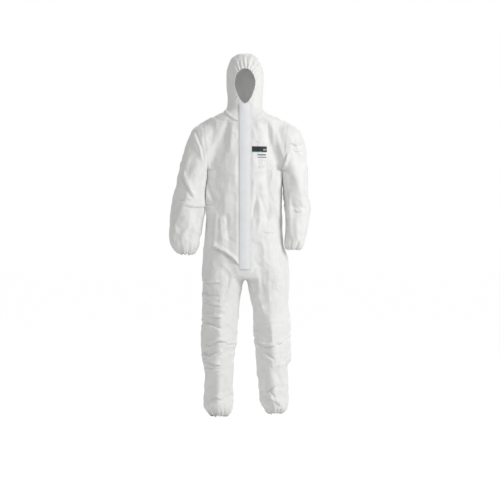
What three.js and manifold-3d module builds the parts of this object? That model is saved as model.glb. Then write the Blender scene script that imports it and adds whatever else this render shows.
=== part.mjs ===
// Hooded disposable chemical protective coverall, as worn: millimetres, +Z up, the front faces -Y.
// Heights are given above the right ankle hem. The whole suit is then lowered so that the origin lies
// at the neck, between the shoulders that carry it. "right" and "left" are the wearer's own.

import * as THREE from "three";
import { mergeVertices } from "three/addons/utils/BufferGeometryUtils.js";
import Module from "manifold-3d";

const wasm = await Module();
wasm.setup();

// ---------------------------------------------------------------- driving dimensions

const wall = 2.5; // thickness that stands for the loose fabric and its folds
const gap = 0.3; // clearance between touching pieces
const far = 1500; // reach of the cutting regions, beyond every piece

// lengths
const legLength = 683; // ankle hem to crotch
const crotchToSeat = 77;
const crotchToHip = 157;
const crotchToWaist = 363;
const crotchToShoulder = 774;
const armholeDepth = 252;
const shoulderToChest = 137;
const hoodLength = 343; // front of the neck to the crown
const chinLength = 88; // front of the neck to the face opening
const faceLength = 172;
const thighLength = 243;
const upperArmLength = 419;
const rightSleeveLength = 657; // top of the armhole to the cuff hem
const leftSleeveLength = 634;

// heights
const crotchHeight = legLength;
const seatHeight = crotchHeight + crotchToSeat;
const hipHeight = crotchHeight + crotchToHip;
const waistHeight = crotchHeight + crotchToWaist;
const shoulderHeight = crotchHeight + crotchToShoulder;
const underarmHeight = shoulderHeight - armholeDepth;
const chestHeight = shoulderHeight - shoulderToChest;
const neckFrontHeight = shoulderHeight - 4;
const collarHeight = shoulderHeight + 60;
const originHeight = shoulderHeight + 23; // between the wearer's shoulders
const crownHeight = neckFrontHeight + hoodLength;
const chinHeight = neckFrontHeight + chinLength;
const browHeight = chinHeight + faceLength;
const kneeHeight = crotchHeight - thighLength;
const armholeTopHeight = shoulderHeight + 2;
const elbowHeight = armholeTopHeight - upperArmLength;
const rightCuffHeight = armholeTopHeight - rightSleeveLength;
const leftCuffHeight = armholeTopHeight - leftSleeveLength;
const rightAnkleHeight = 0;
const leftAnkleHeight = 14;

// half widths of the body
const seatHalfWidth = 217;
const hipHalfWidth = 197;
const waistHalfWidth = 184;
const chestHalfWidth = 200;
const shoulderHalfWidth = 205;
const neckHalfWidth = 88;
const headHalfWidth = 92;

// the arms hang beside the widest of waist and hips, and the legs share the seat
const armHang = Math.max(hipHalfWidth, waistHalfWidth + 13);
const legTopHalfWidth = (seatHalfWidth - 11) / 2;

// front and back planes of the body
const frontY = -112;
const seatBackY = 128;
const waistBackY = 95;
const chestBackY = 127;
const neckBackY = 84;
const headBackY = 112;

// neck seam and armholes
const neckSeamSlope = 25; // degrees, rising towards the nape
const armholeTopX = shoulderHalfWidth + 7;

// hood
const faceHalfWidth = 51;
const hoodSeamX = faceHalfWidth + 8; // half width of the centre panel
const faceElasticWidth = 7;
const foreheadSeamDrop = 13; // from the top of the face opening to the centre panel's front end

// front closure
const zipSlotHalfWidth = 4;
const zipTapeWidth = 12;
const zipTapeThickness = 1.2;
const chainGap = 1.6; // between the two rows of teeth, where the slider's post runs
const chainWidth = 2.6;
const chainThickness = 2.4;
const crotchToZip = 49;
const zipBottomHeight = crotchHeight + crotchToZip;
const zipTopHeight = chinHeight - 7;
const zipStopLength = 6;
const placketHalfWidth = 28.5;
const flapFreeX = -28;
const flapSewnX = 21.7;
const flapThickness = 1.5;
const flapStandOff = 7; // from the panels to the inside of the flap
const flapBottomHeight = zipBottomHeight - 6;
const seamStripWidth = 4;
const adhesiveWidth = 10;
const adhesiveThickness = 1;
const sliderWidth = 9;
const sliderLength = 15;
const sliderPlate = 1.6;
const sliderPostWidth = 1;
const sliderPostLength = 5;
const crownBlock = { width: 4, length: 6, depth: 1.7 };
const pullTab = { width: 6, length: 28, depth: 1.2 };

// elastics and labels
const elasticThickness = 1.5;
const waistElasticWidth = 24;
const hemElasticWidth = 12;
const hemElasticInset = 2;
const chestLabel = { inner: 34, outer: 113, height: 127, belowShoulder: 127, thickness: 0.9 };
const neckLabel = { halfWidth: 22, height: 45, belowCollar: 2, thickness: 0.8 };

// folds at the joints: a band of loose cloth, widest on the side that closes
const foldBand = 4; // half height of the band at the axis
const elbowFoldAngle = 45;
const kneeFoldAngle = 45;
const hipTorsoAngle = 15;
const hipThighAngle = 50;
const hipBackAngle = 7.5;
const gussetHalfWidth = 6;
const hipAxisY = 6;
const kneeAxisY = 4;
const elbowAxisY = -10;
const sideSeamY = 5;

// ---------------------------------------------------------------- outlines of body and limbs

// [height, centre x, half width, front y, back y]
const torsoRows = [
  [crotchHeight, 3, 206, frontY + 10, seatBackY - 18],
  [crotchHeight + 18, 3, seatHalfWidth - 2, frontY + 2, seatBackY - 8],
  [seatHeight - 20, 2, seatHalfWidth, frontY, seatBackY],
  [seatHeight + 20, 1, seatHalfWidth - 4, frontY, seatBackY],
  [hipHeight, -7, hipHalfWidth, frontY, seatBackY - 10],
  [hipHeight + 118, -5, waistHalfWidth + 3, frontY, waistBackY + 7],
  [waistHeight, -4, waistHalfWidth, frontY, waistBackY],
  [underarmHeight - 41, -2, waistHalfWidth, frontY, chestBackY - 18],
  [underarmHeight + 10, 0, waistHalfWidth + 3, frontY, chestBackY - 8],
  [chestHeight, 0, chestHalfWidth, frontY, chestBackY],
  [shoulderHeight - 57, 0, chestHalfWidth + 12, frontY, chestBackY - 7],
  [shoulderHeight - 17, 0, shoulderHalfWidth + 8, frontY, chestBackY - 19],
  [shoulderHeight, 0, shoulderHalfWidth, frontY, chestBackY - 23],
  [shoulderHeight + 18, 0, shoulderHalfWidth - 33, frontY, chestBackY - 29],
  [shoulderHeight + 30, 0, shoulderHalfWidth - 59, frontY, neckBackY + 8],
  [collarHeight - 15, 0, neckHalfWidth + 24, frontY, neckBackY + 4],
  [collarHeight, 0, neckHalfWidth + 2, frontY, neckBackY],
  [collarHeight + 30, 0, neckHalfWidth - 4, frontY + 4, neckBackY - 4],
];

const hoodRows = [
  [neckFrontHeight - 20, 0, neckHalfWidth - 2, frontY, neckBackY - 2],
  [collarHeight, 0, neckHalfWidth, frontY, neckBackY + 2],
  [chinHeight + 34, 0, neckHalfWidth - 3, frontY, headBackY - 16],
  [crownHeight - 156, 0, headHalfWidth, frontY, headBackY],
  [crownHeight - 96, 0, headHalfWidth, frontY + 4, headBackY],
  [crownHeight - 72, 0, headHalfWidth - 5, frontY + 9, headBackY - 4],
  [crownHeight - 44, 0, headHalfWidth - 15, frontY + 20, headBackY - 15],
  [crownHeight - 15, 0, headHalfWidth - 32, frontY + 46, headBackY - 38],
  [crownHeight, 0, headHalfWidth - 64, frontY + 84, headBackY - 78],
];

// [height, centre x, half width, centre y, half depth], each measured outwards from the middle of the suit
const rightSleeveRows = [
  [rightCuffHeight, armHang + 93, 44, -32, 43],
  [rightCuffHeight + 12, armHang + 94, 47, -32, 46],
  [rightCuffHeight + 38, armHang + 99, 66, -31, 62],
  [rightCuffHeight + 68, armHang + 102, 74, -29, 70],
  [elbowHeight - 82, armHang + 94, 84, -22, 80],
  [elbowHeight, armHang + 88, 83, -10, 86],
  [elbowHeight + 65, armHang + 83, 82, -6, 88],
  [underarmHeight - 41, armHang + 73, 78, -2, 92],
  [underarmHeight + 10, armHang + 61, 78, 0, 95],
  [underarmHeight + 47, shoulderHalfWidth + 41, 82, 0, 96],
  [shoulderHeight - 117, shoulderHalfWidth + 7, 87, 0, 96],
  [shoulderHeight - 58, shoulderHalfWidth - 17, 86, 2, 92],
  [shoulderHeight - 29, shoulderHalfWidth - 30, 85, 2, 80],
  [armholeTopHeight - 9, shoulderHalfWidth - 55, 72, 2, 60],
  [armholeTopHeight + 1, shoulderHalfWidth - 55, 50, 2, 40],
];

const leftSleeveRows = [
  [leftCuffHeight, armHang + 43, 40, -32, 42],
  [leftCuffHeight + 25, armHang + 46, 46, -32, 48],
  [leftCuffHeight + 45, armHang + 49, 48, -30, 60],
  [leftCuffHeight + 75, armHang + 55, 52, -28, 68],
  [elbowHeight - 82, armHang + 62, 58, -22, 78],
  [elbowHeight, armHang + 65, 66, -10, 84],
  [elbowHeight + 65, armHang + 57, 64, -6, 88],
  [underarmHeight - 41, armHang + 54, 63, -2, 92],
  [underarmHeight + 10, armHang + 47, 66, 0, 95],
  [underarmHeight + 47, shoulderHalfWidth + 23, 78, 0, 96],
  [shoulderHeight - 117, shoulderHalfWidth + 11, 88, 0, 96],
  [shoulderHeight - 58, shoulderHalfWidth - 11, 90, 2, 92],
  [shoulderHeight - 29, shoulderHalfWidth - 27, 87, 2, 80],
  [armholeTopHeight - 9, shoulderHalfWidth - 53, 74, 2, 60],
  [armholeTopHeight + 1, shoulderHalfWidth - 53, 50, 2, 40],
];

const rightLegRows = [
  [rightAnkleHeight, 125, 46, 5, 48],
  [rightAnkleHeight + 17, 128, 54, 5, 55],
  [rightAnkleHeight + 47, 134, 71, 8, 74],
  [rightAnkleHeight + 76, 132, 73, 10, 79],
  [kneeHeight - 276, 132, 73, 10, 82],
  [kneeHeight - 207, 131, 72, 10, 84],
  [kneeHeight - 158, 137, 83, 8, 90],
  [kneeHeight - 70, 130, 90, 5, 94],
  [kneeHeight + 47, 127, 93, 4, 100],
  [crotchHeight - 78, 120, 96, 5, 110],
  [crotchHeight - 19, legTopHalfWidth + 7, legTopHalfWidth - 3, 6, 115],
  [crotchHeight, legTopHalfWidth + 7, legTopHalfWidth, 6, 116],
  [crotchHeight + 42, legTopHalfWidth + 5, legTopHalfWidth - 3, 8, 112],
];

const leftLegRows = [
  [leftAnkleHeight, 150, 42, 5, 46],
  [leftAnkleHeight + 14, 150, 50, 6, 54],
  [leftAnkleHeight + 33, 148, 62, 8, 70],
  [leftAnkleHeight + 62, 144, 71, 10, 78],
  [kneeHeight - 276, 142, 78, 10, 82],
  [kneeHeight - 207, 136, 80, 10, 84],
  [kneeHeight - 158, 145, 90, 8, 90],
  [kneeHeight - 70, 140, 95, 5, 94],
  [kneeHeight + 47, 137, 93, 4, 100],
  [crotchHeight - 78, 122, 98, 5, 110],
  [crotchHeight - 19, legTopHalfWidth + 17, legTopHalfWidth + 2, 6, 115],
  [crotchHeight, legTopHalfWidth + 15, legTopHalfWidth + 1, 6, 116],
  [crotchHeight + 42, legTopHalfWidth + 10, legTopHalfWidth - 3, 8, 112],
];

const limbRows = {
  right: { sleeve: outward(rightSleeveRows, -1), leg: outward(rightLegRows, -1) },
  left: { sleeve: outward(leftSleeveRows, 1), leg: outward(leftLegRows, 1) },
};
const sides = { right: -1, left: 1 };
const cuffHeights = { right: rightCuffHeight, left: leftCuffHeight };

function outward(rows, side) {
  return rows.map(([z, x, halfWidth, y, halfDepth]) => {
    return [z, side * x, halfWidth, y - halfDepth, y + halfDepth];
  });
}

// ---------------------------------------------------------------- solids

function solid(geometry) {
  geometry.deleteAttribute("normal");
  geometry.deleteAttribute("uv");
  const merged = mergeVertices(geometry);
  const mesh = new wasm.Mesh({
    numProp: 3,
    vertProperties: new Float32Array(merged.attributes.position.array),
    triVerts: new Uint32Array(merged.index.array),
  });
  return new wasm.Manifold(mesh);
}

function box(x0, x1, y0, y1, z0, z1) {
  const geometry = new THREE.BoxGeometry(x1 - x0, y1 - y0, z1 - z0);
  geometry.translate((x0 + x1) / 2, (y0 + y1) / 2, (z0 + z1) / 2);
  return solid(geometry);
}

function prism(points, from, to, basis) {
  const shape = points instanceof THREE.Shape ? points : new THREE.Shape(points);
  const geometry = new THREE.ExtrudeGeometry(shape, {
    depth: to - from,
    bevelEnabled: false,
    curveSegments: 5,
  });
  geometry.translate(0, 0, from);
  geometry.applyMatrix4(basis);
  return solid(geometry);
}

// an outline drawn in (y, z), seen from the side, spread along x
function sidePrism(outline, x0, x1) {
  const basis = new THREE.Matrix4().makeBasis(axisY, axisZ, axisX);
  return prism(outline.map(([y, z]) => new THREE.Vector2(y, z)), x0, x1, basis);
}

// an outline drawn in (x, z), seen from the front, spread along y
function frontPrism(outline, y0, y1) {
  const basis = new THREE.Matrix4().makeBasis(axisX, axisZ, axisY.clone().negate());
  const shape = outline instanceof THREE.Shape ? outline : outline.map(([x, z]) => new THREE.Vector2(x, z));
  return prism(shape, -y1, -y0, basis);
}

// one closed section of the body, with a flat facet at the middle of the front and of the back
function ring([z, x, halfWidth, front, back], inset, sideCount, power) {
  const exponent = 2 / power;
  const facetScale = Math.cos(Math.PI / sideCount) ** exponent;
  const middleY = (front + back) / 2;
  const a = halfWidth - inset;
  const b = ((back - front) / 2 - inset) / facetScale;
  const points = [];
  for (let i = 0; i < sideCount; i += 1) {
    const angle = ((i + 0.5) * 2 * Math.PI) / sideCount;
    const c = Math.cos(angle);
    const s = Math.sin(angle);
    const px = x + a * Math.sign(c) * Math.abs(c) ** exponent;
    const py = middleY + b * Math.sign(s) * Math.abs(s) ** exponent;
    points.push(px, py, z);
  }
  return points;
}

// a closed solid through the sections; ends move inwards by their inset, so a negative one runs out
function stack(rows, { inset = 0, bottomInset = 0, topInset = 0, sideCount = 16, power = 2.1 } = {}) {
  const sections = rows.map((row) => [...row]);
  sections[0][0] += bottomInset;
  sections[sections.length - 1][0] -= topInset;
  const positions = sections.flatMap((row) => ring(row, inset, sideCount, power));
  const indices = [];
  for (let level = 0; level < sections.length - 1; level += 1) {
    for (let i = 0; i < sideCount; i += 1) {
      const next = (i + 1) % sideCount;
      const a = level * sideCount + i;
      const b = level * sideCount + next;
      indices.push(a, b, b + sideCount, a, b + sideCount, a + sideCount);
    }
  }
  const bottomCentre = positions.length / 3;
  const topCentre = bottomCentre + 1;
  const last = sections.length - 1;
  positions.push(sections[0][1], (sections[0][3] + sections[0][4]) / 2, sections[0][0]);
  positions.push(sections[last][1], (sections[last][3] + sections[last][4]) / 2, sections[last][0]);
  for (let i = 0; i < sideCount; i += 1) {
    const next = (i + 1) % sideCount;
    indices.push(bottomCentre, next, i);
    indices.push(topCentre, last * sideCount + i, last * sideCount + next);
  }
  const geometry = new THREE.BufferGeometry();
  geometry.setAttribute("position", new THREE.Float32BufferAttribute(positions, 3));
  geometry.setIndex(indices);
  return solid(geometry);
}

const axisX = new THREE.Vector3(1, 0, 0);
const axisY = new THREE.Vector3(0, 1, 0);
const axisZ = new THREE.Vector3(0, 0, 1);

// the edge of a body or limb on one side at a height
function edgeAt(rows, height, side) {
  let level = rows.findIndex((row) => row[0] > height);
  level = level < 1 ? rows.length - 1 : level;
  const [z0, x0, a0] = rows[level - 1];
  const [z1, x1, a1] = rows[level];
  const t = (height - z0) / (z1 - z0);
  return THREE.MathUtils.lerp(x0 + side * a0, x1 + side * a1, t);
}

// ---------------------------------------------------------------- the garment as one shell

const bodySides = 24;
const bodyPower = 2.3;
const runOut = 6; // how far the inner solid runs out of an open end

const torsoOptions = { sideCount: bodySides, power: bodyPower };

function torsoSolid(inset) {
  return stack(torsoRows, { ...torsoOptions, inset, bottomInset: inset });
}

function hoodSolid(inset) {
  return stack(hoodRows, { ...torsoOptions, inset, topInset: inset });
}

function limbSolid(rows, inset) {
  return stack(rows, { inset, bottomInset: inset > 0 ? -runOut : 0, topInset: inset });
}

function bodySolid(inset) {
  let body = torsoSolid(inset).add(hoodSolid(inset));
  for (const side of Object.keys(sides)) {
    body = body.add(limbSolid(limbRows[side].sleeve, inset));
    body = body.add(limbSolid(limbRows[side].leg, inset));
  }
  return body;
}

// egg-shaped face opening, wide at the brow and narrow at the chin
function faceOutline(margin) {
  const middle = (chinHeight + browHeight) / 2 + 14;
  const half = faceHalfWidth + margin;
  const top = browHeight + margin;
  const bottom = chinHeight - margin;
  const shape = new THREE.Shape();
  shape.moveTo(0, bottom);
  shape.bezierCurveTo(half * 0.55, bottom, half, middle - 50, half, middle);
  shape.bezierCurveTo(half, middle + 45, half * 0.62, top, 0, top);
  shape.bezierCurveTo(-half * 0.62, top, -half, middle + 45, -half, middle);
  shape.bezierCurveTo(-half, middle - 50, -half * 0.55, bottom, 0, bottom);
  return frontPrism(shape, -far, -20);
}

const garment = bodySolid(0).subtract(bodySolid(wall)).subtract(faceOutline(0));

// ---------------------------------------------------------------- regions that the garment is cut into

function degrees(angle) {
  return THREE.MathUtils.degToRad(angle);
}

function neckSeam(y) {
  return neckFrontHeight + (y - frontY) * Math.tan(degrees(neckSeamSlope));
}

function aboveNeck(offset) {
  const outline = [
    [-far, neckSeam(-far) + offset],
    [far, neckSeam(far) + offset],
    [far, 2 * far],
    [-far, 2 * far],
  ];
  return sidePrism(outline, -far, far);
}

// the line of the armhole, and below it the middle of the space between body and sleeve
function sleeveRegion(side, offset) {
  const sign = sides[side];
  const rows = limbRows[side].sleeve;
  const underarmX = (edgeAt(torsoRows, underarmHeight, sign) + edgeAt(rows, underarmHeight, -sign)) / 2;
  const bottom = cuffHeights[side];
  const heights = [
    underarmHeight - 41, elbowHeight + 65, elbowHeight, elbowHeight - 82, bottom + 65, bottom + 6,
  ];
  const between = heights.map((height) => {
    const x = (edgeAt(torsoRows, height, sign) + edgeAt(rows, height, -sign)) / 2;
    return [x + sign * offset, height];
  });
  const lowest = between[between.length - 1];
  const outline = [
    [sign * (armholeTopX + offset), far + shoulderHeight],
    [sign * (armholeTopX + offset), armholeTopHeight],
    [underarmX + sign * offset, underarmHeight],
    ...between,
    [lowest[0], bottom - 3],
    [sign * far, bottom - 3],
    [sign * far, far + shoulderHeight],
  ];
  return frontPrism(outline, -far, far);
}

// everything below a bent line through an axis: it drops by one angle ahead of it and another behind it
function below(axisAtY, height, frontAngle, backAngle, x0, x1) {
  const reach = 400;
  const frontHeight = height + reach * Math.tan(degrees(frontAngle));
  const backHeight = height + reach * Math.tan(degrees(backAngle));
  const floor = -far;
  const outline = [
    [axisAtY - reach, floor],
    [axisAtY + reach, floor],
    [axisAtY + reach, backHeight],
    [axisAtY, height],
    [axisAtY - reach, frontHeight],
  ];
  return sidePrism(outline, x0, x1);
}

function outerSpan(side, inner) {
  return sides[side] < 0 ? [-far, -inner] : [inner, far];
}

const hoodAndNeck = garment.intersect(aboveNeck(gap / 2));
const belowNeck = garment.subtract(aboveNeck(-gap / 2));
let trunk = belowNeck;
for (const side of Object.keys(sides)) {
  trunk = trunk.subtract(sleeveRegion(side, -gap / 2));
}

// the body above the hips, and what hangs below them
const hipTop = crotchHeight + foldBand;
const aboveHips = trunk.subtract(below(hipAxisY, hipTop, hipTorsoAngle, hipBackAngle, -far, far));
const belowHips = trunk.intersect(below(hipAxisY, hipTop - gap, hipTorsoAngle, hipBackAngle, -far, far));

// ---------------------------------------------------------------- nodes

const suit = new THREE.Group();
suit.position.z = -originHeight;

const fabric = { color: 0xe6e6e3, roughness: 0.72, metalness: 0 };
const hoodFabric = { color: 0xe4e4e1, roughness: 0.72, metalness: 0 };
const foldFabric = { color: 0xdadad7, roughness: 0.78, metalness: 0 };
const flapFabric = { color: 0xe9ecec, roughness: 0.68, metalness: 0 };
const elasticCloth = { color: 0xd6d6d2, roughness: 0.85, metalness: 0 };
const tapeCloth = { color: 0xe2e2de, roughness: 0.82, metalness: 0 };
const nylon = { color: 0xdedfdc, roughness: 0.45, metalness: 0 };
const paintedZinc = { color: 0xe4e4e1, roughness: 0.38, metalness: 0.35 };
const adhesive = { color: 0xf2f0e6, roughness: 0.35, metalness: 0 };
const labelFilm = { color: 0x2a2d2e, roughness: 0.5, metalness: 0 };

function node(name, body, look) {
  const { vertProperties, triVerts } = body.getMesh();
  const geometry = new THREE.BufferGeometry();
  geometry.setAttribute("position", new THREE.Float32BufferAttribute(vertProperties, 3));
  geometry.setIndex(new THREE.Uint32BufferAttribute(triVerts, 1));
  geometry.computeVertexNormals();
  const mesh = new THREE.Mesh(geometry, new THREE.MeshStandardMaterial({ ...look, flatShading: true }));
  mesh.name = name;
  suit.add(mesh);
}

// --- trunk panels, cut back for the zip

const tapeFrontY = frontY + wall + gap;
const tapeRoomX = zipTapeWidth + chainGap;
const closureBottom = zipBottomHeight - gap;
const tapeRoom = box(-tapeRoomX, tapeRoomX, frontY + wall, 0, closureBottom, far + crownHeight);
const zipSlot = box(-zipSlotHalfWidth, zipSlotHalfWidth, -far, 0, closureBottom, far + crownHeight);
const closure = zipSlot.add(tapeRoom);

for (const [side, sign] of Object.entries(sides)) {
  const [x0, x1] = outerSpan(side, gap / 2);
  const half = aboveHips.intersect(box(x0, x1, -far, far, -far, 2 * far));
  const front = half.intersect(box(-far, far, -far, sideSeamY - gap / 2, -far, 2 * far)).subtract(closure);
  const back = half.intersect(box(-far, far, sideSeamY + gap / 2, far, -far, 2 * far));
  node(`torso_front_${side}`, front, fabric);
  node(`torso_back_${side}`, back, fabric);

  // chin placket beside the top of the zip
  const placketSpan = sign < 0 ? [-placketHalfWidth, -gap / 2] : [gap / 2, placketHalfWidth];
  const placketBox = box(placketSpan[0], placketSpan[1], -far, 0, -far, browHeight - 60);
  node(`chin_placket_${side}`, hoodAndNeck.intersect(placketBox).subtract(closure), fabric);
}

const gussetSpan = box(-gussetHalfWidth, gussetHalfWidth, -far, far, -far, 2 * far);
node("crotch_gusset", belowHips.intersect(gussetSpan), fabric);

// --- hood

const chinRoomHalfWidth = placketHalfWidth + 0.8;
const chinRoom = box(-chinRoomHalfWidth, chinRoomHalfWidth, -far, 0, -far, browHeight - 60);
const hoodShell = hoodAndNeck.subtract(chinRoom);

function centreRegion(offset) {
  const strip = box(-hoodSeamX - offset, hoodSeamX + offset, -far, far, -far, 2 * far);
  return strip.subtract(box(-far, far, -far, 0, -far, browHeight - foreheadSeamDrop - offset));
}

node("hood_centre_panel", hoodShell.intersect(centreRegion(-gap / 2)), hoodFabric);
const hoodSides = hoodShell.subtract(centreRegion(gap / 2));
for (const side of Object.keys(sides)) {
  const [x0, x1] = outerSpan(side, gap / 2);
  node(`hood_panel_${side}`, hoodSides.intersect(box(x0, x1, -far, far, -far, 2 * far)), hoodFabric);
}
const elasticInset = wall + gap;
const hoodLining = hoodSolid(elasticInset).subtract(hoodSolid(elasticInset + elasticThickness));
const faceBand = faceOutline(faceElasticWidth).subtract(faceOutline(0)).subtract(chinRoom);
node("hood_face_elastic", hoodLining.intersect(faceBand), elasticCloth);

// --- zip

const tapeBottom = zipBottomHeight + gap;
const tapeSpan = [chainGap / 2 + gap, chainGap / 2 + zipTapeWidth];
const chainBackY = tapeFrontY - gap;
const chainFrontY = chainBackY - chainThickness;
for (const [side, sign] of Object.entries(sides)) {
  const tapeX = tapeSpan.map((x) => sign * x).sort((a, b) => a - b);
  const tapeBackY = tapeFrontY + zipTapeThickness;
  node(`zip_tape_${side}`, box(...tapeX, tapeFrontY, tapeBackY, tapeBottom, zipTopHeight), tapeCloth);
  const chainX = [sign * (chainGap / 2), sign * (chainGap / 2 + chainWidth)].sort((a, b) => a - b);
  const chainBottom = tapeBottom + zipStopLength + gap;
  const chainTop = zipTopHeight - zipStopLength - gap;
  node(`zip_teeth_${side}`, box(...chainX, chainFrontY, chainBackY, chainBottom, chainTop), nylon);
  const stop = box(...chainX, chainFrontY, chainBackY, chainTop + gap, zipTopHeight);
  node(`zip_top_stop_${side}`, stop, paintedZinc);
}
const stopHalfWidth = chainGap / 2 + chainWidth;
node(
  "zip_bottom_stop",
  box(-stopHalfWidth, stopHalfWidth, chainFrontY, chainBackY, tapeBottom, tapeBottom + zipStopLength),
  paintedZinc,
);

// --- slider: two plates joined by a post between the rows of teeth, with a block that carries the pull

const sliderTop = zipTopHeight - zipStopLength - 2;
const sliderMiddle = sliderTop - sliderLength / 2;
const frontPlateBackY = frontY - gap;
const frontPlateFrontY = frontPlateBackY - sliderPlate;
const backPlateFrontY = tapeFrontY + zipTapeThickness + gap;
const backPlateBackY = backPlateFrontY + sliderPlate;
const halfSlider = sliderWidth / 2;
const blockTop = sliderMiddle + crownBlock.length / 2;
const blockFrontY = frontPlateFrontY - crownBlock.depth;
const sliderBottom = sliderTop - sliderLength;
const slider = box(-halfSlider, halfSlider, frontPlateFrontY, frontPlateBackY, sliderBottom, sliderTop)
  .add(box(-halfSlider, halfSlider, backPlateFrontY, backPlateBackY, sliderBottom, sliderTop))
  .add(
    box(
      -sliderPostWidth / 2, sliderPostWidth / 2, frontPlateFrontY, backPlateBackY,
      sliderTop - sliderPostLength, sliderTop,
    ),
  )
  .add(
    box(
      -crownBlock.width / 2, crownBlock.width / 2, blockFrontY, frontPlateFrontY,
      blockTop - crownBlock.length, blockTop,
    ),
  );
node("zip_slider", slider, paintedZinc);
const tabBackY = blockFrontY - gap;
const halfTab = pullTab.width / 2;
const tab = box(-halfTab, halfTab, tabBackY - pullTab.depth, tabBackY, blockTop - pullTab.length, blockTop);
node("zip_pull_tab", tab, paintedZinc);

// --- storm flap, the strip that it is sewn to, and its closing tape

const flapInsideY = frontY - flapStandOff;
const flapOutsideY = flapInsideY - flapThickness;
node(
  "storm_flap",
  box(flapFreeX, flapSewnX, flapOutsideY, flapInsideY, flapBottomHeight, chinHeight),
  flapFabric,
);
const adhesiveX = [flapFreeX + 1, flapFreeX + 1 + adhesiveWidth];
node(
  "flap_adhesive_tape",
  box(
    ...adhesiveX, flapInsideY + gap, flapInsideY + gap + adhesiveThickness,
    flapBottomHeight + 10, chinHeight - 10,
  ),
  adhesive,
);
const stripX = [flapSewnX + gap, flapSewnX + gap + seamStripWidth];
const seamStrip = box(...stripX, flapOutsideY, 0, flapBottomHeight, chinHeight);
node("flap_seam_strip", seamStrip.subtract(bodySolid(-gap)), flapFabric);

// --- sleeves

function foldRing(tube, axisAtY, height, top, bottom) {
  const upper = below(axisAtY, height + foldBand - gap, top[0], top[1], -far, far);
  const lower = below(axisAtY, height - foldBand + gap, bottom[0], bottom[1], -far, far);
  return tube.intersect(upper).subtract(lower);
}

function hemElastic(rows, bottom) {
  const band = stack(rows, { inset: elasticInset }).subtract(stack(rows, {
    inset: elasticInset + elasticThickness, bottomInset: -runOut, topInset: -runOut,
  }));
  const low = bottom + hemElasticInset;
  return band.intersect(box(-far, far, -far, far, low, low + hemElasticWidth));
}

for (const side of Object.keys(sides)) {
  const sleeve = belowNeck.intersect(sleeveRegion(side, gap / 2));
  const top = [elbowFoldAngle, 0];
  const bottom = [-elbowFoldAngle, 0];
  const upper = sleeve.subtract(below(elbowAxisY, elbowHeight + foldBand, ...top, -far, far));
  const lower = sleeve.intersect(below(elbowAxisY, elbowHeight - foldBand, ...bottom, -far, far));
  node(`upper_sleeve_${side}`, upper, fabric);
  node(`elbow_fold_${side}`, foldRing(sleeve, elbowAxisY, elbowHeight, top, bottom), foldFabric);
  node(`lower_sleeve_${side}`, lower, fabric);
  node(`cuff_elastic_${side}`, hemElastic(limbRows[side].sleeve, cuffHeights[side]), elasticCloth);
}

// --- legs

const ankleHeights = { right: rightAnkleHeight, left: leftAnkleHeight };
for (const side of Object.keys(sides)) {
  const [x0, x1] = outerSpan(side, gussetHalfWidth + gap);
  const leg = belowHips.intersect(box(x0, x1, -far, far, -far, 2 * far));
  const hipLow = [-hipThighAngle, -hipBackAngle];
  const kneeTop = [0, kneeFoldAngle];
  const kneeLow = [0, -kneeFoldAngle];
  const belowFold = leg.intersect(below(hipAxisY, crotchHeight - foldBand, ...hipLow, -far, far));
  const hipFold = leg.subtract(below(hipAxisY, crotchHeight - foldBand + gap, ...hipLow, -far, far));
  const thigh = belowFold.subtract(below(kneeAxisY, kneeHeight + foldBand, ...kneeTop, -far, far));
  const shin = belowFold.intersect(below(kneeAxisY, kneeHeight - foldBand, ...kneeLow, -far, far));
  node(`hip_fold_${side}`, hipFold, foldFabric);
  node(`upper_leg_${side}`, thigh, fabric);
  node(`knee_fold_${side}`, foldRing(leg, kneeAxisY, kneeHeight, kneeTop, kneeLow), foldFabric);
  node(`lower_leg_${side}`, shin, fabric);
  node(`ankle_elastic_${side}`, hemElastic(limbRows[side].leg, ankleHeights[side]), elasticCloth);
}

// --- waist elastic and labels

const waistLining = torsoSolid(elasticInset).subtract(torsoSolid(elasticInset + elasticThickness));
const waistBandBottom = waistHeight - waistElasticWidth / 2;
const waistBand = box(-far, far, sideSeamY + 12, far, waistBandBottom, waistBandBottom + waistElasticWidth);
node("waist_elastic", waistLining.intersect(waistBand), elasticCloth);

const labelSkin = torsoSolid(-gap - chestLabel.thickness).subtract(torsoSolid(-gap));
const labelTop = shoulderHeight - chestLabel.belowShoulder;
const labelBox = box(chestLabel.inner, chestLabel.outer, -far, 0, labelTop - chestLabel.height, labelTop);
node("chest_label", labelSkin.intersect(labelBox), labelFilm);

const neckSkin = torsoSolid(elasticInset).subtract(torsoSolid(elasticInset + neckLabel.thickness));
const neckLabelTop = collarHeight - neckLabel.belowCollar;
const neckLabelX = neckLabel.halfWidth;
const neckBox = box(-neckLabelX, neckLabelX, 0, far, neckLabelTop - neckLabel.height, neckLabelTop);
node("neck_size_label", neckSkin.intersect(neckBox), tapeCloth);

export default suit;
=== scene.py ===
"""A hooded disposable protective coverall, shown as worn.

Lengths in the outlines are millimetres above the right ankle hem; the garment is made in them and is then
set down in the CAD frame, whose origin lies between the wearer's shoulders. right and left are the wearer's.
"""

import math

import bmesh
import bpy
import numpy as np
from mathutils import Matrix, Vector, noise


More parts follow.
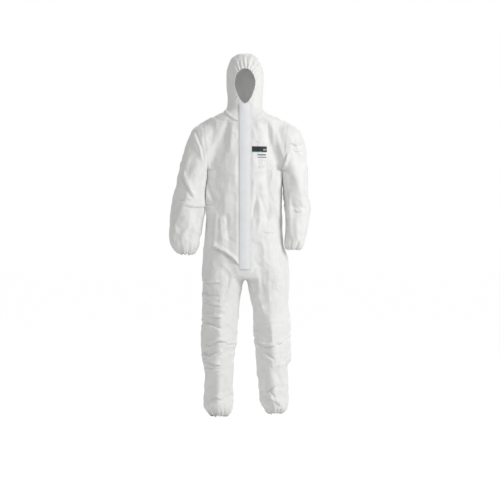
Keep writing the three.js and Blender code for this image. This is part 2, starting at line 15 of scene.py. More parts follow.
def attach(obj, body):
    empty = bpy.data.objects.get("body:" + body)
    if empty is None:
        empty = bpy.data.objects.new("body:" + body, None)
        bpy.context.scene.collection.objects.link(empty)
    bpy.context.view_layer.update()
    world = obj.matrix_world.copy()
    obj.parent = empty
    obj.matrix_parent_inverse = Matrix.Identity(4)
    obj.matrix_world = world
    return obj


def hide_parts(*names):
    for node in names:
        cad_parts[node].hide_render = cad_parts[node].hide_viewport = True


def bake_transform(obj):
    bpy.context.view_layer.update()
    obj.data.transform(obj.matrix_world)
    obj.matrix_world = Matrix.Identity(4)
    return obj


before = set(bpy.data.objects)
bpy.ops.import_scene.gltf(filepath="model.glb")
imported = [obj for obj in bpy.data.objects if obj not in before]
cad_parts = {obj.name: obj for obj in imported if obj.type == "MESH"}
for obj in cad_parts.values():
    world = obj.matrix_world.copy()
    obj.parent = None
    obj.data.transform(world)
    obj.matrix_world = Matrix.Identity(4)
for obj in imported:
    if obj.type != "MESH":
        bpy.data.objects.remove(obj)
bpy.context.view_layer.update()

# ---------------------------------------------------------------- measures

ORIGIN = 1480.0  # height of the frame's origin
CROTCH = 683.0
SEAT = CROTCH + 77
HIP = CROTCH + 157
WAIST = CROTCH + 363
SHOULDER = CROTCH + 774
UNDERARM = SHOULDER - 252
CHEST = SHOULDER - 137
NECK = SHOULDER - 4
COLLAR = SHOULDER + 60
CHIN = NECK + 88
BROW = CHIN + 172
CROWN = NECK + 343
KNEE = CROTCH - 243
ARM_TOP = SHOULDER + 2
ELBOW = ARM_TOP - 419
CUFF = {"right": ARM_TOP - 657, "left": ARM_TOP - 634}
ANKLE = {"right": 0.0, "left": 14.0}
FRONT = -112.0
SIGN = {"right": -1.0, "left": 1.0}
ARM_HANG = 197.0
LEG_TOP = 103.0
ARM_TOP_X = 212.0
NECK_SLOPE = math.tan(math.radians(25))
FACE_HALF = 51.0
HOOD_SEAM_X = 59.0
PLACKET_X = 28.5
SLOT_X = 4.0
ZIP_BOTTOM = CROTCH + 49
SIDE_SEAM_Y = 5.0
GUSSET_X = 6.0
ELBOW_CUT = ELBOW + 55
KNEE_CUT = KNEE + 57
CLOTH = 0.5  # wall of the fabric
VOXEL = 12.5

# height, centre x, half width, front y, back y
TORSO = [
    (CROTCH, 3, 206, -102, 110), (CROTCH + 18, 3, 215, -110, 120), (SEAT - 20, 2, 217, FRONT, 128),
    (SEAT + 20, 1, 213, FRONT, 128), (HIP, -7, 197, FRONT, 118), (HIP + 118, -5, 187, FRONT, 102),
    (WAIST, -4, 184, FRONT, 95), (UNDERARM - 41, -2, 184, FRONT, 109), (UNDERARM + 10, 0, 187, FRONT, 119),
    (CHEST, 0, 200, FRONT, 127), (SHOULDER - 57, 0, 212, FRONT, 120), (SHOULDER - 17, 0, 213, FRONT, 108),
    (SHOULDER, 0, 205, FRONT, 104), (SHOULDER + 18, 0, 172, FRONT, 98), (SHOULDER + 30, 0, 146, FRONT, 92),
    (COLLAR - 15, 0, 112, FRONT, 88), (COLLAR, 0, 90, FRONT, 84), (COLLAR + 30, 0, 84, -108, 80),
]
HOOD = [
    (NECK - 20, 0, 86, FRONT, 82), (COLLAR, 0, 88, FRONT, 86), (CHIN + 34, 0, 85, FRONT, 96),
    (CROWN - 156, 0, 92, FRONT, 112), (CROWN - 96, 0, 92, -108, 112), (CROWN - 72, 0, 87, -103, 108),
    (CROWN - 44, 0, 77, -92, 97), (CROWN - 15, 0, 60, -66, 74), (CROWN, 0, 28, -28, 34),
]
# height, centre x outwards from the middle, half width, centre y, half depth
CR, CL = CUFF["right"], CUFF["left"]
SLEEVE = {
    "right": [
        (CR, 290, 44, -32, 43), (CR + 12, 291, 47, -32, 46), (CR + 38, 296, 66, -31, 62),
        (CR + 68, 299, 74, -29, 70), (ELBOW - 82, 291, 84, -22, 80), (ELBOW, 285, 83, -10, 86),
        (ELBOW + 65, 280, 82, -6, 88), (UNDERARM - 41, 270, 78, -2, 92), (UNDERARM + 10, 258, 78, 0, 95),
        (UNDERARM + 47, 246, 82, 0, 96), (SHOULDER - 117, 212, 87, 0, 96), (SHOULDER - 58, 188, 86, 2, 92),
        (SHOULDER - 29, 175, 85, 2, 80), (ARM_TOP - 9, 150, 72, 2, 60), (ARM_TOP + 1, 150, 50, 2, 40),
    ],
    "left": [
        (CL, 240, 40, -32, 42), (CL + 25, 243, 46, -32, 48), (CL + 45, 246, 48, -30, 60),
        (CL + 75, 252, 52, -28, 68), (ELBOW - 82, 259, 58, -22, 78), (ELBOW, 262, 66, -10, 84),
        (ELBOW + 65, 254, 64, -6, 88), (UNDERARM - 41, 251, 63, -2, 92), (UNDERARM + 10, 244, 66, 0, 95),
        (UNDERARM + 47, 228, 78, 0, 96), (SHOULDER - 117, 216, 88, 0, 96), (SHOULDER - 58, 194, 90, 2, 92),
        (SHOULDER - 29, 178, 87, 2, 80), (ARM_TOP - 9, 152, 74, 2, 60), (ARM_TOP + 1, 152, 50, 2, 40),
    ],
}
LEG = {
    "right": [
        (0, 125, 46, 5, 48), (17, 128, 54, 5, 55), (47, 134, 71, 8, 74), (76, 132, 73, 10, 79),
        (KNEE - 276, 132, 73, 10, 82), (KNEE - 207, 131, 72, 10, 84), (KNEE - 158, 137, 83, 8, 90),
        (KNEE - 70, 130, 90, 5, 94), (KNEE + 47, 127, 93, 4, 100), (CROTCH - 78, 120, 96, 5, 110),
        (CROTCH - 19, 110, 100, 6, 115), (CROTCH, 110, 103, 6, 116), (CROTCH + 42, 108, 100, 8, 112),
    ],
    "left": [
        (14, 150, 42, 5, 46), (28, 150, 50, 6, 54), (47, 148, 62, 8, 70), (76, 144, 71, 10, 78),
        (KNEE - 276, 142, 78, 10, 82), (KNEE - 207, 136, 80, 10, 84), (KNEE - 158, 145, 90, 8, 90),
        (KNEE - 70, 140, 95, 5, 94), (KNEE + 47, 137, 93, 4, 100), (CROTCH - 78, 122, 98, 5, 110),
        (CROTCH - 19, 120, 105, 6, 115), (CROTCH, 118, 104, 6, 116), (CROTCH + 42, 113, 100, 8, 112),
    ],
}


def frame_point(x, y, z):
    return Vector((x, y, z - ORIGIN)) * 0.001


def to_frame(points):
    return (points - np.array([0, 0, ORIGIN])) * 0.001


# ---------------------------------------------------------------- outlines


def through(x, y, at):
    """A smooth curve through the points that never runs past them."""
    gaps = np.diff(x)
    slopes = np.diff(y) / gaps
    tangents = np.zeros_like(y)
    for i in range(1, len(y) - 1):
        if slopes[i - 1] * slopes[i] > 0:
            a = 2 * gaps[i] + gaps[i - 1]
            b = gaps[i] + 2 * gaps[i - 1]
            tangents[i] = (a + b) / (a / slopes[i - 1] + b / slopes[i])
    tangents[0], tangents[-1] = slopes[0], slopes[-1]
    k = np.clip(np.searchsorted(x, at, side="right") - 1, 0, len(x) - 2)
    h = gaps[k]
    t = (at - x[k]) / h
    return (
        (2 * t**3 - 3 * t**2 + 1) * y[k] + (t**3 - 2 * t**2 + t) * h * tangents[k]
        + (3 * t**2 - 2 * t**3) * y[k + 1] + (t**3 - t**2) * h * tangents[k + 1]
    )


def body_rows(rows):
    return np.array(rows, float)


def limb_rows(rows, sign):
    return np.array([(z, sign * x, a, y - b, y + b) for z, x, a, y, b in rows], float)


ROWS = {"torso": body_rows(TORSO), "hood": body_rows(HOOD)}
for s, g in SIGN.items():
    ROWS[f"sleeve_{s}"] = limb_rows(SLEEVE[s], g)
    ROWS[f"leg_{s}"] = limb_rows(LEG[s], g)


def column(name, index, z):
    rows = ROWS[name]
    return through(rows[:, 0], rows[:, index], np.clip(z, rows[0, 0], rows[-1, 0]))


def edge_x(name, z, side):
    return column(name, 1, z) + side * column(name, 2, z)


def smooth(a, b, x):
    t = np.clip((np.asarray(x, float) - a) / (b - a), 0, 1)
    return t * t * (3 - 2 * t)


def bump(x, centre, width):
    return np.exp(-(((np.asarray(x, float) - centre) / width) ** 2))


def section(angles, power, crease):
    """A rounded section; crease draws it towards a diamond, which has a fold down its front and back."""
    c, s = np.cos(angles), np.sin(angles)
    e = 2 / power
    reach = 1 / (np.abs(c) + np.abs(s))
    x = (1 - crease) * np.sign(c) * np.abs(c) ** e + crease * c * reach
    y = (1 - crease) * np.sign(s) * np.abs(s) ** e + crease * s * reach
    return x, y


def loft(name, power, crease, spread, sides=96, step=7.0):
    rows = ROWS[name]
    heights = np.linspace(rows[0, 0], rows[-1, 0], int((rows[-1, 0] - rows[0, 0]) / step) + 2)
    angles = np.arange(sides) * 2 * math.pi / sides
    points = []
    for z in heights:
        x0, a, f, b = (float(column(name, i, z)) for i in range(1, 5))
        sx, sy = section(angles, power, float(crease(z)))
        ring = np.stack([x0 + a * sx, (f + b) / 2 + (b - f) / 2 * sy, np.full(sides, z)], 1)
        ring[:, 0] += spread(z)
        points.append(ring)
    count = len(heights)
    verts = np.concatenate(points)
    faces = []
    for i in range(count - 1):
        for j in range(sides):
            k = (j + 1) % sides
            faces.append((i * sides + j, i * sides + k, (i + 1) * sides + k, (i + 1) * sides + j))
    faces.append(tuple(reversed(range(sides))))
    faces.append(tuple(range((count - 1) * sides, count * sides)))
    return verts, faces


# the sleeves are held away from the body while the skin is made, so that the two stay apart below the arm
NOTCH_TOP, NOTCH_LOW, NOTCH = UNDERARM - 4, UNDERARM - 150, 60.0


def arm_spread(z):
    return NOTCH * (1 - smooth(NOTCH_LOW, NOTCH_TOP, z))


def leg_crease(z):
    return 0.8 * smooth(30, 110, z) * (1 - smooth(CROTCH - 150, CROTCH + 10, z))


def sleeve_crease(z):
    return 0.12 * smooth(CR + 30, CR + 120, z) * (1 - smooth(UNDERARM - 60, UNDERARM + 60, z))


def mesh_of(name, verts, faces):
    mesh = bpy.data.meshes.new(name)
    mesh.from_pydata([tuple(v) for v in verts], [], faces)
    mesh.update()
    return mesh


def scratch_object(name, mesh):
    obj = bpy.data.objects.new(name, mesh)
    bpy.context.scene.collection.objects.link(obj)
    return obj


def baked(obj):
    """The object's mesh with its modifiers applied; the object itself is removed."""
    bpy.context.view_layer.update()
    depsgraph = bpy.context.evaluated_depsgraph_get()
    mesh = bpy.data.meshes.new_from_object(obj.evaluated_get(depsgraph), depsgraph=depsgraph)
    old = obj.data
    bpy.data.objects.remove(obj)
    bpy.data.meshes.remove(old)
    return mesh


def points_of(mesh):
    co = np.empty(len(mesh.vertices) * 3, np.float32)
    mesh.vertices.foreach_get("co", co)
    return co.reshape(-1, 3).astype(float)


def set_points(mesh, points):
    mesh.vertices.foreach_set("co", points.astype(np.float32).ravel())
    mesh.update()


def make_skin():
    verts, faces, base = [], [], 0

    def none(z):
        return 0.0

    parts = [loft("torso", 2.3, none, none), loft("hood", 2.25, none, none)]
    for s, g in SIGN.items():
        parts.append(loft(f"sleeve_{s}", 2.1, sleeve_crease, lambda z, g=g: g * arm_spread(z)))
        parts.append(loft(f"leg_{s}", 2.1, leg_crease, none))
    for v, f in parts:
        verts.append(v)
        faces += [tuple(i + base for i in face) for face in f]
        base += len(v)
    obj = scratch_object("skin", mesh_of("skin", np.concatenate(verts), faces))
    remesh = obj.modifiers.new("skin", "REMESH")
    remesh.mode = "VOXEL"
    remesh.voxel_size = VOXEL
    mesh = baked(obj)
    obj = scratch_object("skin", mesh)
    relax = obj.modifiers.new("relax", "SMOOTH")
    relax.factor = 0.5
    relax.iterations = 3
    return baked(obj)


def armhole_x(z, g):
    """How far out the armhole lies, and below it the middle of the space between body and sleeve."""
    s = "right" if g < 0 else "left"
    low = np.minimum(z, UNDERARM)
    low = np.maximum(low, CUFF[s])
    between = (g * edge_x("torso", low, g) + g * edge_x(f"sleeve_{s}", low, -g)) / 2
    up = np.clip((z - UNDERARM) / (ARM_TOP - UNDERARM), 0, 1)
    under = (g * edge_x("torso", np.full_like(z, UNDERARM), g)
             + g * edge_x(f"sleeve_{s}", np.full_like(z, UNDERARM), -g)) / 2
    return np.where(z < UNDERARM, between, under + (ARM_TOP_X - under) * up)


def bring_arms_in(points):
    for s, g in SIGN.items():
        z = points[:, 2]
        spread = arm_spread(z)
        beside = g * points[:, 0] > armhole_x(z, g) + spread / 2
        sleeve = beside & (z < NOTCH_TOP) & (z > CUFF[s] - 30)
        points[sleeve, 0] -= g * spread[sleeve]
    return points


# ---------------------------------------------------------------- cutting a mesh where a field is zero


def cut(bm, field, region=None):
    """Splits the mesh where the field of the points is zero."""
    layer = bm.verts.layers.float_vector["rest"]
    bm.verts.ensure_lookup_table()
    bm.verts.index_update()
    rest = np.array([v[layer] for v in bm.verts])
    values = field(rest)
    allowed = np.ones(len(values), bool) if region is None else region(rest)
    bm.edges.ensure_lookup_table()
    ends = np.array([(e.verts[0].index, e.verts[1].index) for e in bm.edges])
    fa, fb = values[ends[:, 0]], values[ends[:, 1]]
    crossing = (fa * fb < 0) & allowed[ends[:, 0]] & allowed[ends[:, 1]]
    edges = [bm.edges[i] for i in np.nonzero(crossing)[0]]
    shares = (fa / (fa - fb + 1e-12))[crossing]
    on_line = set(bm.verts[i] for i in np.nonzero((np.abs(values) < 1e-7) & allowed)[0])
    pending = []
    snapped = {}
    for edge, t in zip(edges, shares):
        a, b = edge.verts
        near = a if t < 0.12 else b if t > 0.88 else None
        if near is not None and near not in snapped:
            other = b if near is a else a
            share = t if near is a else 1 - t
            snapped[near] = (near.co.lerp(other.co, share), near[layer].lerp(other[layer], share))
        elif near is None:
            pending.append((edge, float(t)))
    for vert, (co, at) in snapped.items():
        vert.co = co
        vert[layer] = at
        on_line.add(vert)
    for edge, t in pending:
        a, b = edge.verts
        if a in on_line or b in on_line:
            continue
        _, vert = bmesh.utils.edge_split(edge, a, t)
        on_line.add(vert)
    faces = {f for v in on_line for f in v.link_faces}
    for face in faces:
        hits = [v for v in face.verts if v in on_line]
        if len(hits) == 2 and not any(
            e.other_vert(hits[0]) is hits[1] for e in hits[0].link_edges if e in face.edges
        ):
            bmesh.utils.face_split(face, hits[0], hits[1])
        elif len(hits) > 2:
            bmesh.ops.connect_verts(bm, verts=hits)


def with_rest(mesh):
    attribute = mesh.attributes.new("rest", "FLOAT_VECTOR", "POINT")
    attribute.data.foreach_set("vector", points_of(mesh).astype(np.float32).ravel())


def rest_of(mesh):
    out = np.empty(len(mesh.vertices) * 3, np.float32)
    mesh.attributes["rest"].data.foreach_get("vector", out)
    return out.reshape(-1, 3).astype(float)


def face_field(p, margin=0.0):
    """Below zero inside the egg of the face opening."""
    middle = (CHIN + BROW) / 2 + 14
    above = p[:, 2] > middle
    tall = np.where(above, BROW - middle, middle - CHIN) + margin
    v = (p[:, 2] - middle) / tall
    narrow = np.where(above, 1.0, 1 - 0.28 * np.clip(-v, 0, 1) ** 1.2)
    u = p[:, 0] / ((FACE_HALF + margin) * narrow)
    d = (np.sqrt(u**2 + v**2) - 1) * FACE_HALF
    return np.where(p[:, 1] < 0, d, 60.0)


def open_ends(mesh):
    """Opens the cuffs, the ankles and the face of the closed skin."""
    bm = bmesh.new()
    bm.from_mesh(mesh)
    layer = bm.verts.layers.float_vector["rest"]

    def remove(test):
        doomed = [f for f in bm.faces if test(sum((v[layer] for v in f.verts), Vector()) / len(f.verts))]
        bmesh.ops.delete(bm, geom=doomed, context="FACES")

    for s, g in SIGN.items():
        def beside(p, g=g):
            return g * p[:, 0] > g * edge_x("torso", p[:, 2], g) + 4

        cut(bm, lambda p, s=s: p[:, 2] - CUFF[s] - 1, beside)
        remove(lambda c, s=s, g=g: CUFF[s] - 14 < c.z < CUFF[s] + 1 and g * c.x > 190 and beside(np.array([c]))[0])
        cut(bm, lambda p, s=s: p[:, 2] - ANKLE[s] - 1, lambda p, g=g: g * p[:, 0] > 0)
        remove(lambda c, s=s, g=g: g * c.x > 0 and c.z < ANKLE[s] + 1)
    cut(bm, face_field, lambda p: (p[:, 1] < 0) & (p[:, 2] > CHIN - 40))
    remove(lambda c: c.y < 0 and c.z > CHIN - 20 and face_field(np.array([c]))[0] < 0)
    bm.to_mesh(mesh)
    bm.free()
    return mesh


# ---------------------------------------------------------------- the cloth hangs and buckles


def pin_weights(rest):
    """1 where elastic, seams or the zip hold the cloth, and a little everywhere for the body inside it."""
    x, y, z = rest.T
    hold = np.full(len(z), 0.10)
    hold = np.maximum(hold, np.where(y < 0, 1 - smooth(26, 52, np.abs(x)), 0) * (z > CROTCH - 20))
    hold = np.maximum(hold, bump(z, WAIST, 16) * (y > SIDE_SEAM_Y) * 0.6)
    hold = np.maximum(hold, 0.35 * smooth(SHOULDER - 40, SHOULDER + 10, z))
    hold = np.maximum(hold, 0.8 * smooth(NECK, COLLAR + 20, z))
    hold = np.maximum(hold, 1 - smooth(2, 26, face_field(rest)))
    for s, g in SIGN.items():
        on_sleeve = (g * x > armhole_x(z, g)) & (z > CUFF[s] - 5)
        hold = np.maximum(hold, np.where(on_sleeve, 1 - smooth(10, 30, z - CUFF[s]), 0))
        on_leg = (g * x > 0) & (z < CROTCH)
        hold = np.maximum(hold, np.where(on_leg, 1 - smooth(10, 30, z - ANKLE[s]), 0))
        slit = np.abs(g * x - armhole_x(z, g)) < 16
        hold = np.maximum(hold, np.where(slit & (z < UNDERARM + 20) & (z > CUFF[s]), 0.5, 0))
    return np.clip(hold, 0, 1)


def slack_weights(rest):
    """Where the cloth is cut larger than the body: most in the limbs and across the front."""
    x, y, z = rest.T
    slack = np.full(len(z), 0.65)
    slack += 0.35 * bump(z, KNEE, 110) + 0.35 * bump(z, ELBOW, 90) * (np.abs(x) > 190)
    slack += 0.2 * bump(z, WAIST, 120) - 0.35 * smooth(COLLAR, CHIN, z)
    return np.clip(slack, 0, 1)


def hang(mesh, frames=26, slack=0.055):
    set_points(mesh, points_of(mesh) * 0.001)
    obj = scratch_object("cloth", mesh)
    rest = rest_of(mesh)
    for name, weights in (("hold", pin_weights(rest)), ("slack", slack_weights(rest))):
        group = obj.vertex_groups.new(name=name)
        for level in range(1, 21):
            chosen = np.nonzero(np.round(weights * 20) == level)[0]
            group.add([int(i) for i in chosen], level / 20, "REPLACE")
    cloth = obj.modifiers.new("cloth", "CLOTH")
    settings = cloth.settings
    settings.quality = 6
    settings.mass = 0.08
    settings.tension_stiffness = 40
    settings.compression_stiffness = 40
    settings.shear_stiffness = 12
    settings.bending_stiffness = 1.2
    settings.tension_damping = 12
    settings.compression_damping = 12
    settings.bending_damping = 2
    settings.air_damping = 4
    settings.vertex_group_mass = "hold"
    settings.pin_stiffness = 1.5
    settings.vertex_group_shrink = "slack"
    settings.shrink_min = 0
    settings.shrink_max = -slack
    cloth.collision_settings.use_collision = False
    cloth.point_cache.frame_start = 1
    cloth.point_cache.frame_end = frames
    scene = bpy.context.scene
    scene.frame_start, scene.frame_end = 1, frames
    for step in range(1, frames + 1):
        scene.frame_set(step)
    mesh = baked(obj)
    scene.frame_set(1)
    set_points(mesh, points_of(mesh) * 1000)
    return mesh


# ---------------------------------------------------------------- folds, gathers and seams


def lattice(points, seed):
    """Smooth random values from 0 to 1 over space, one unit to a cell."""
    cell = np.floor(points).astype(np.int64)
    f = points - cell
    f = f * f * (3 - 2 * f)
    total = np.zeros(len(points))
    for corner in range(8):
        step = np.array([corner & 1, (corner >> 1) & 1, corner >> 2])
        key = (cell + step) @ np.array([73856093, 19349663, 83492791]) + seed * 2654435761
        key = (key ^ (key >> 13)) * 1274126177 & 0x7FFFFFFF
        key = (key ^ (key >> 16)) & 0xFFFF
        weight = np.prod(np.where(step, f, 1 - f), axis=1)
        total += weight * key / 65535.0
    return total


def ridges(points, seed):
    """Sharp crests of 1 with soft hollows between them."""
    return 1 - np.abs(2 * lattice(points, seed) - 1) * 2


def stroke(rest, path, width, depth, side=0, taper=0.22, front=True):
    """A fold along a line on the front, as (x, height) points; a side of 1 or -1 lets the cloth overhang there."""
    x, y, z = rest.T
    path = np.array(path, float)
    low, high = path.min(0) - 3 * width, path.max(0) + 3 * width
    near = (x > low[0]) & (x < high[0]) & (z > low[1]) & (z < high[1]) & ((y < 30) if front else (y > -30))
    out = np.zeros(len(x))
    if not near.any():
        return out
    q = np.stack([x[near], z[near]], 1)
    lengths = np.linalg.norm(np.diff(path, axis=0), axis=1)
    total = lengths.sum()
    best = np.full(len(q), 1e9)
    signed = np.zeros(len(q))
    share = np.zeros(len(q))
    start = 0.0
    for a, b, length in zip(path[:-1], path[1:], lengths):
        d = (b - a) / length
        along = np.clip((q - a) @ d, 0, length)
        off = q - a - along[:, None] * d
        dist = np.linalg.norm(off, axis=1)
        cross = d[0] * off[:, 1] - d[1] * off[:, 0]
        closer = dist < best
        best = np.where(closer, dist, best)
        signed = np.where(closer, np.sign(cross) * dist, signed)
        share = np.where(closer, (start + along) / total, share)
        start += length
    u = signed / width
    if side:
        shape = 0.9 * np.exp(-(((u - side * 0.75) / 0.6) ** 2)) - 0.75 * np.exp(-((u / 0.32) ** 2))
    else:
        shape = np.exp(-(np.abs(u) ** 1.4) * 1.6)
    ends = smooth(0, taper, share) * (1 - smooth(1 - taper, 1, share)) if taper else 1.0
    out[near] = depth * shape * ends
    return out


FRONT_FOLDS = [
    # collar: the neck seam pulls the cloth up beside the closure
    ([(-112, 1512), (-88, 1480), (-58, 1458), (-30, 1450)], 12, 4.0, 1),
    ([(112, 1508), (88, 1478), (60, 1458), (32, 1450)], 12, 1.2, -1),
    # hanging folds of the chest
    ([(-78, 1468), (-96, 1420), (-104, 1350), (-98, 1290)], 26, -5.0, 0),
    ([(-60, 1440), (-66, 1380), (-72, 1290)], 18, 3.0, 0),
    ([(112, 1462), (117, 1410), (120, 1345)], 15, -4.5, 0),
    ([(134, 1455), (140, 1390), (138, 1330)], 16, 3.2, 0),
    ([(96, 1250), (112, 1160), (120, 1040), (108, 920)], 26, -6.0, 0),
    ([(140, 1240), (152, 1120), (150, 980)], 24, 4.0, 0),
    ([(62, 1110), (46, 1040), (28, 962)], 16, -5.0, 0),
    ([(66, 1110), (92, 1040), (122, 955)], 16, -5.0, 0),
    ([(70, 1085), (74, 1010), (76, 930)], 20, 4.5, 0),
    ([(84, 906), (112, 901), (146, 905)], 10, 3.0, 1),
    # from the armhole down the wearer's right side
    ([(-190, 1258), (-182, 1190), (-168, 1120), (-152, 1052)], 17, 8.0, -1),
    ([(-188, 1050), (-172, 1040), (-154, 1040)], 10, 3.0, -1),
    ([(-152, 1018), (-158, 960), (-162, 870), (-160, 790)], 18, 5.5, 1),
    ([(-96, 1012), (-88, 930), (-76, 838)], 20, -5.0, 0),
    ([(-122, 1000), (-116, 920), (-108, 850)], 18, 3.6, 0),
    ([(-40, 1300), (-52, 1220), (-48, 1120)], 22, 2.6, 0),
    ([(44, 1180), (36, 1100), (40, 1040)], 18, 2.4, 0),
    # groin
    ([(-182, 846), (-140, 826), (-100, 803), (-62, 776), (-32, 742), (-2, 698)], 15, 11.0, 1),
    ([(6, 700), (30, 712), (60, 740), (84, 762)], 16, -4.5, 0),
    ([(12, 690), (56, 692), (96, 706), (126, 724)], 15, -4.0, 0),
    ([(-120, 760), (-88, 730), (-60, 690)], 20, 3.0, 0),
    # sleeves
    ([(-248, 1418), (-232, 1370), (-214, 1318), (-206, 1260)], 14, 6.0, -1),
    ([(-262, 1400), (-250, 1340), (-232, 1290)], 15, 4.0, 0),
    ([(-326, 1218), (-306, 1160), (-278, 1104), (-256, 1066)], 15, 7.5, 1),
    ([(-310, 1225), (-286, 1170), (-262, 1120)], 12, 4.5, 0),
    ([(-345, 1072), (-300, 1062), (-262, 1070)], 14, 5.0, -1),
    ([(-300, 1036), (-262, 1030), (-226, 1028), (-202, 1036)], 12, 6.5, 1),
    ([(-355, 960), (-330, 900), (-300, 860)], 24, 3.0, 0),
    ([(226, 1342), (258, 1336), (292, 1346)], 10, 5.0, 1),
    ([(236, 1312), (262, 1304), (292, 1312)], 10, 3.6, 1),
    ([(206, 1306), (196, 1258), (180, 1214)], 13, 6.0, 1),
    ([(214, 1120), (216, 1030), (214, 930), (220, 860)], 14, 5.0, 1),
    ([(262, 1200), (278, 1120), (284, 1030)], 26, 3.6, 0),
    ([(240, 1010), (268, 1000), (300, 1012)], 12, 3.2, 1),
    ([(250, 900), (264, 870), (270, 840)], 12, 3.0, 0),
    # wearer's right leg: wrinkles across the outer half
    ([(-216, 664), (-170, 655), (-122, 662)], 12, 6.5, 1),
    ([(-214, 618), (-176, 600), (-124, 596)], 14, 5.5, -1),
    ([(-212, 572), (-170, 556), (-120, 540)], 13, 7.0, 1),
    ([(-208, 498), (-164, 492), (-116, 484)], 12, 6.0, 1),
    ([(-206, 470), (-166, 456), (-114, 434)], 13, 7.0, -1),
    ([(-214, 366), (-176, 350), (-130, 372), (-92, 360)], 14, 7.5, 1),
    ([(-216, 322), (-180, 300), (-140, 322), (-112, 342)], 13, 7.0, -1),
    ([(-214, 272), (-174, 262), (-120, 246)], 13, 7.5, 1),
    ([(-204, 244), (-166, 238), (-112, 234)], 10, 4.5, -1),
    ([(-150, 372), (-126, 352), (-104, 366)], 9, 4.0, 0),
    ([(-96, 352), (-66, 356), (-40, 348)], 12, 3.5, 1),
    # wearer's left leg: the knee and the twisted hem
    ([(42, 402), (66, 362), (104, 344), (160, 348)], 15, 9.0, 1),
    ([(150, 350), (190, 362), (232, 398)], 14, 6.0, 1),
    ([(98, 326), (124, 300), (150, 280)], 13, 6.5, -1),
    ([(54, 430), (80, 396), (112, 372)], 14, 5.0, 0),
    ([(216, 300), (190, 270), (152, 262)], 14, 4.0, 1),
    ([(88, 560), (110, 500), (130, 450)], 18, 4.0, 0),
    ([(60, 620), (86, 570), (108, 520)], 18, 4.0, 0),
    ([(104, 118), (132, 138), (176, 158)], 12, 7.0, 1),
    ([(108, 92), (140, 76), (176, 44)], 12, 6.0, 1),
    ([(118, 132), (142, 104), (150, 66)], 11, 6.0, -1),
    ([(160, 130), (186, 110), (204, 92)], 12, 5.0, 0),
    ([(-176, 76), (-150, 92), (-120, 80), (-96, 92)], 11, 5.0, 1),
]
BACK_FOLDS = [
    ([(-120, 1380), (-60, 1300), (-30, 1200)], 26, 5.0, 1),
    ([(120, 1380), (64, 1290), (36, 1190)], 26, 5.0, -1),
    ([(-150, 900), (-90, 850), (-30, 780), (-6, 710)], 22, 6.0, 1),
    ([(150, 900), (90, 850), (30, 780), (6, 710)], 22, 6.0, -1),
    ([(-170, 680), (-110, 660), (-40, 690)], 18, 5.0, 1),
    ([(170, 670), (110, 650), (50, 684)], 18, 5.0, -1),
    ([(-200, 470), (-130, 450), (-60, 466)], 16, 6.0, 1),
    ([(-196, 420), (-130, 408), (-64, 420)], 16, 6.0, -1),
    ([(200, 460), (136, 440), (62, 458)], 16, 6.0, 1),
    ([(204, 404), (140, 396), (64, 410)], 16, 6.0, -1),
    ([(-330, 1060), (-280, 1044), (-220, 1060)], 15, 5.0, 1),
    ([(320, 1064), (262, 1046), (214, 1060)], 15, 5.0, 1),
]


def neck_field(p):
    return p[:, 2] - (NECK + (p[:, 1] - FRONT) * NECK_SLOPE)


def arm_field(p):
    g = np.where(p[:, 0] < 0, -1.0, 1.0)
    line = np.where(g < 0, armhole_x(p[:, 2], -1.0), armhole_x(p[:, 2], 1.0))
    return np.abs(p[:, 0]) - line


def hip_field(p):
    y = p[:, 1]
    ahead = CROTCH + 4 + (6 - y) * math.tan(math.radians(15))
    behind = CROTCH + 4 + (y - 6) * math.tan(math.radians(7.5))
    return p[:, 2] - np.where(y < 6, ahead, behind)


def side_field(p):
    return p[:, 1] - SIDE_SEAM_Y


def is_sleeve(p):
    low = np.where(p[:, 0] < 0, CUFF["right"], CUFF["left"]) - 6
    return (arm_field(p) > 0) & (p[:, 2] > low)


def is_hood(p):
    return (neck_field(p) > 0) & ~is_sleeve(p)


def is_leg(p):
    return (hip_field(p) < 0) & ~is_sleeve(p)


def seam_dip(distance, width=3.2, depth=1.1):
    """A stitched seam: a narrow dip with a low ridge on each side."""
    return -depth * np.exp(-((distance / width) ** 2)) + 0.5 * depth * np.exp(
        -(((np.abs(distance) - 2.4 * width) / (1.6 * width)) ** 2)
    )


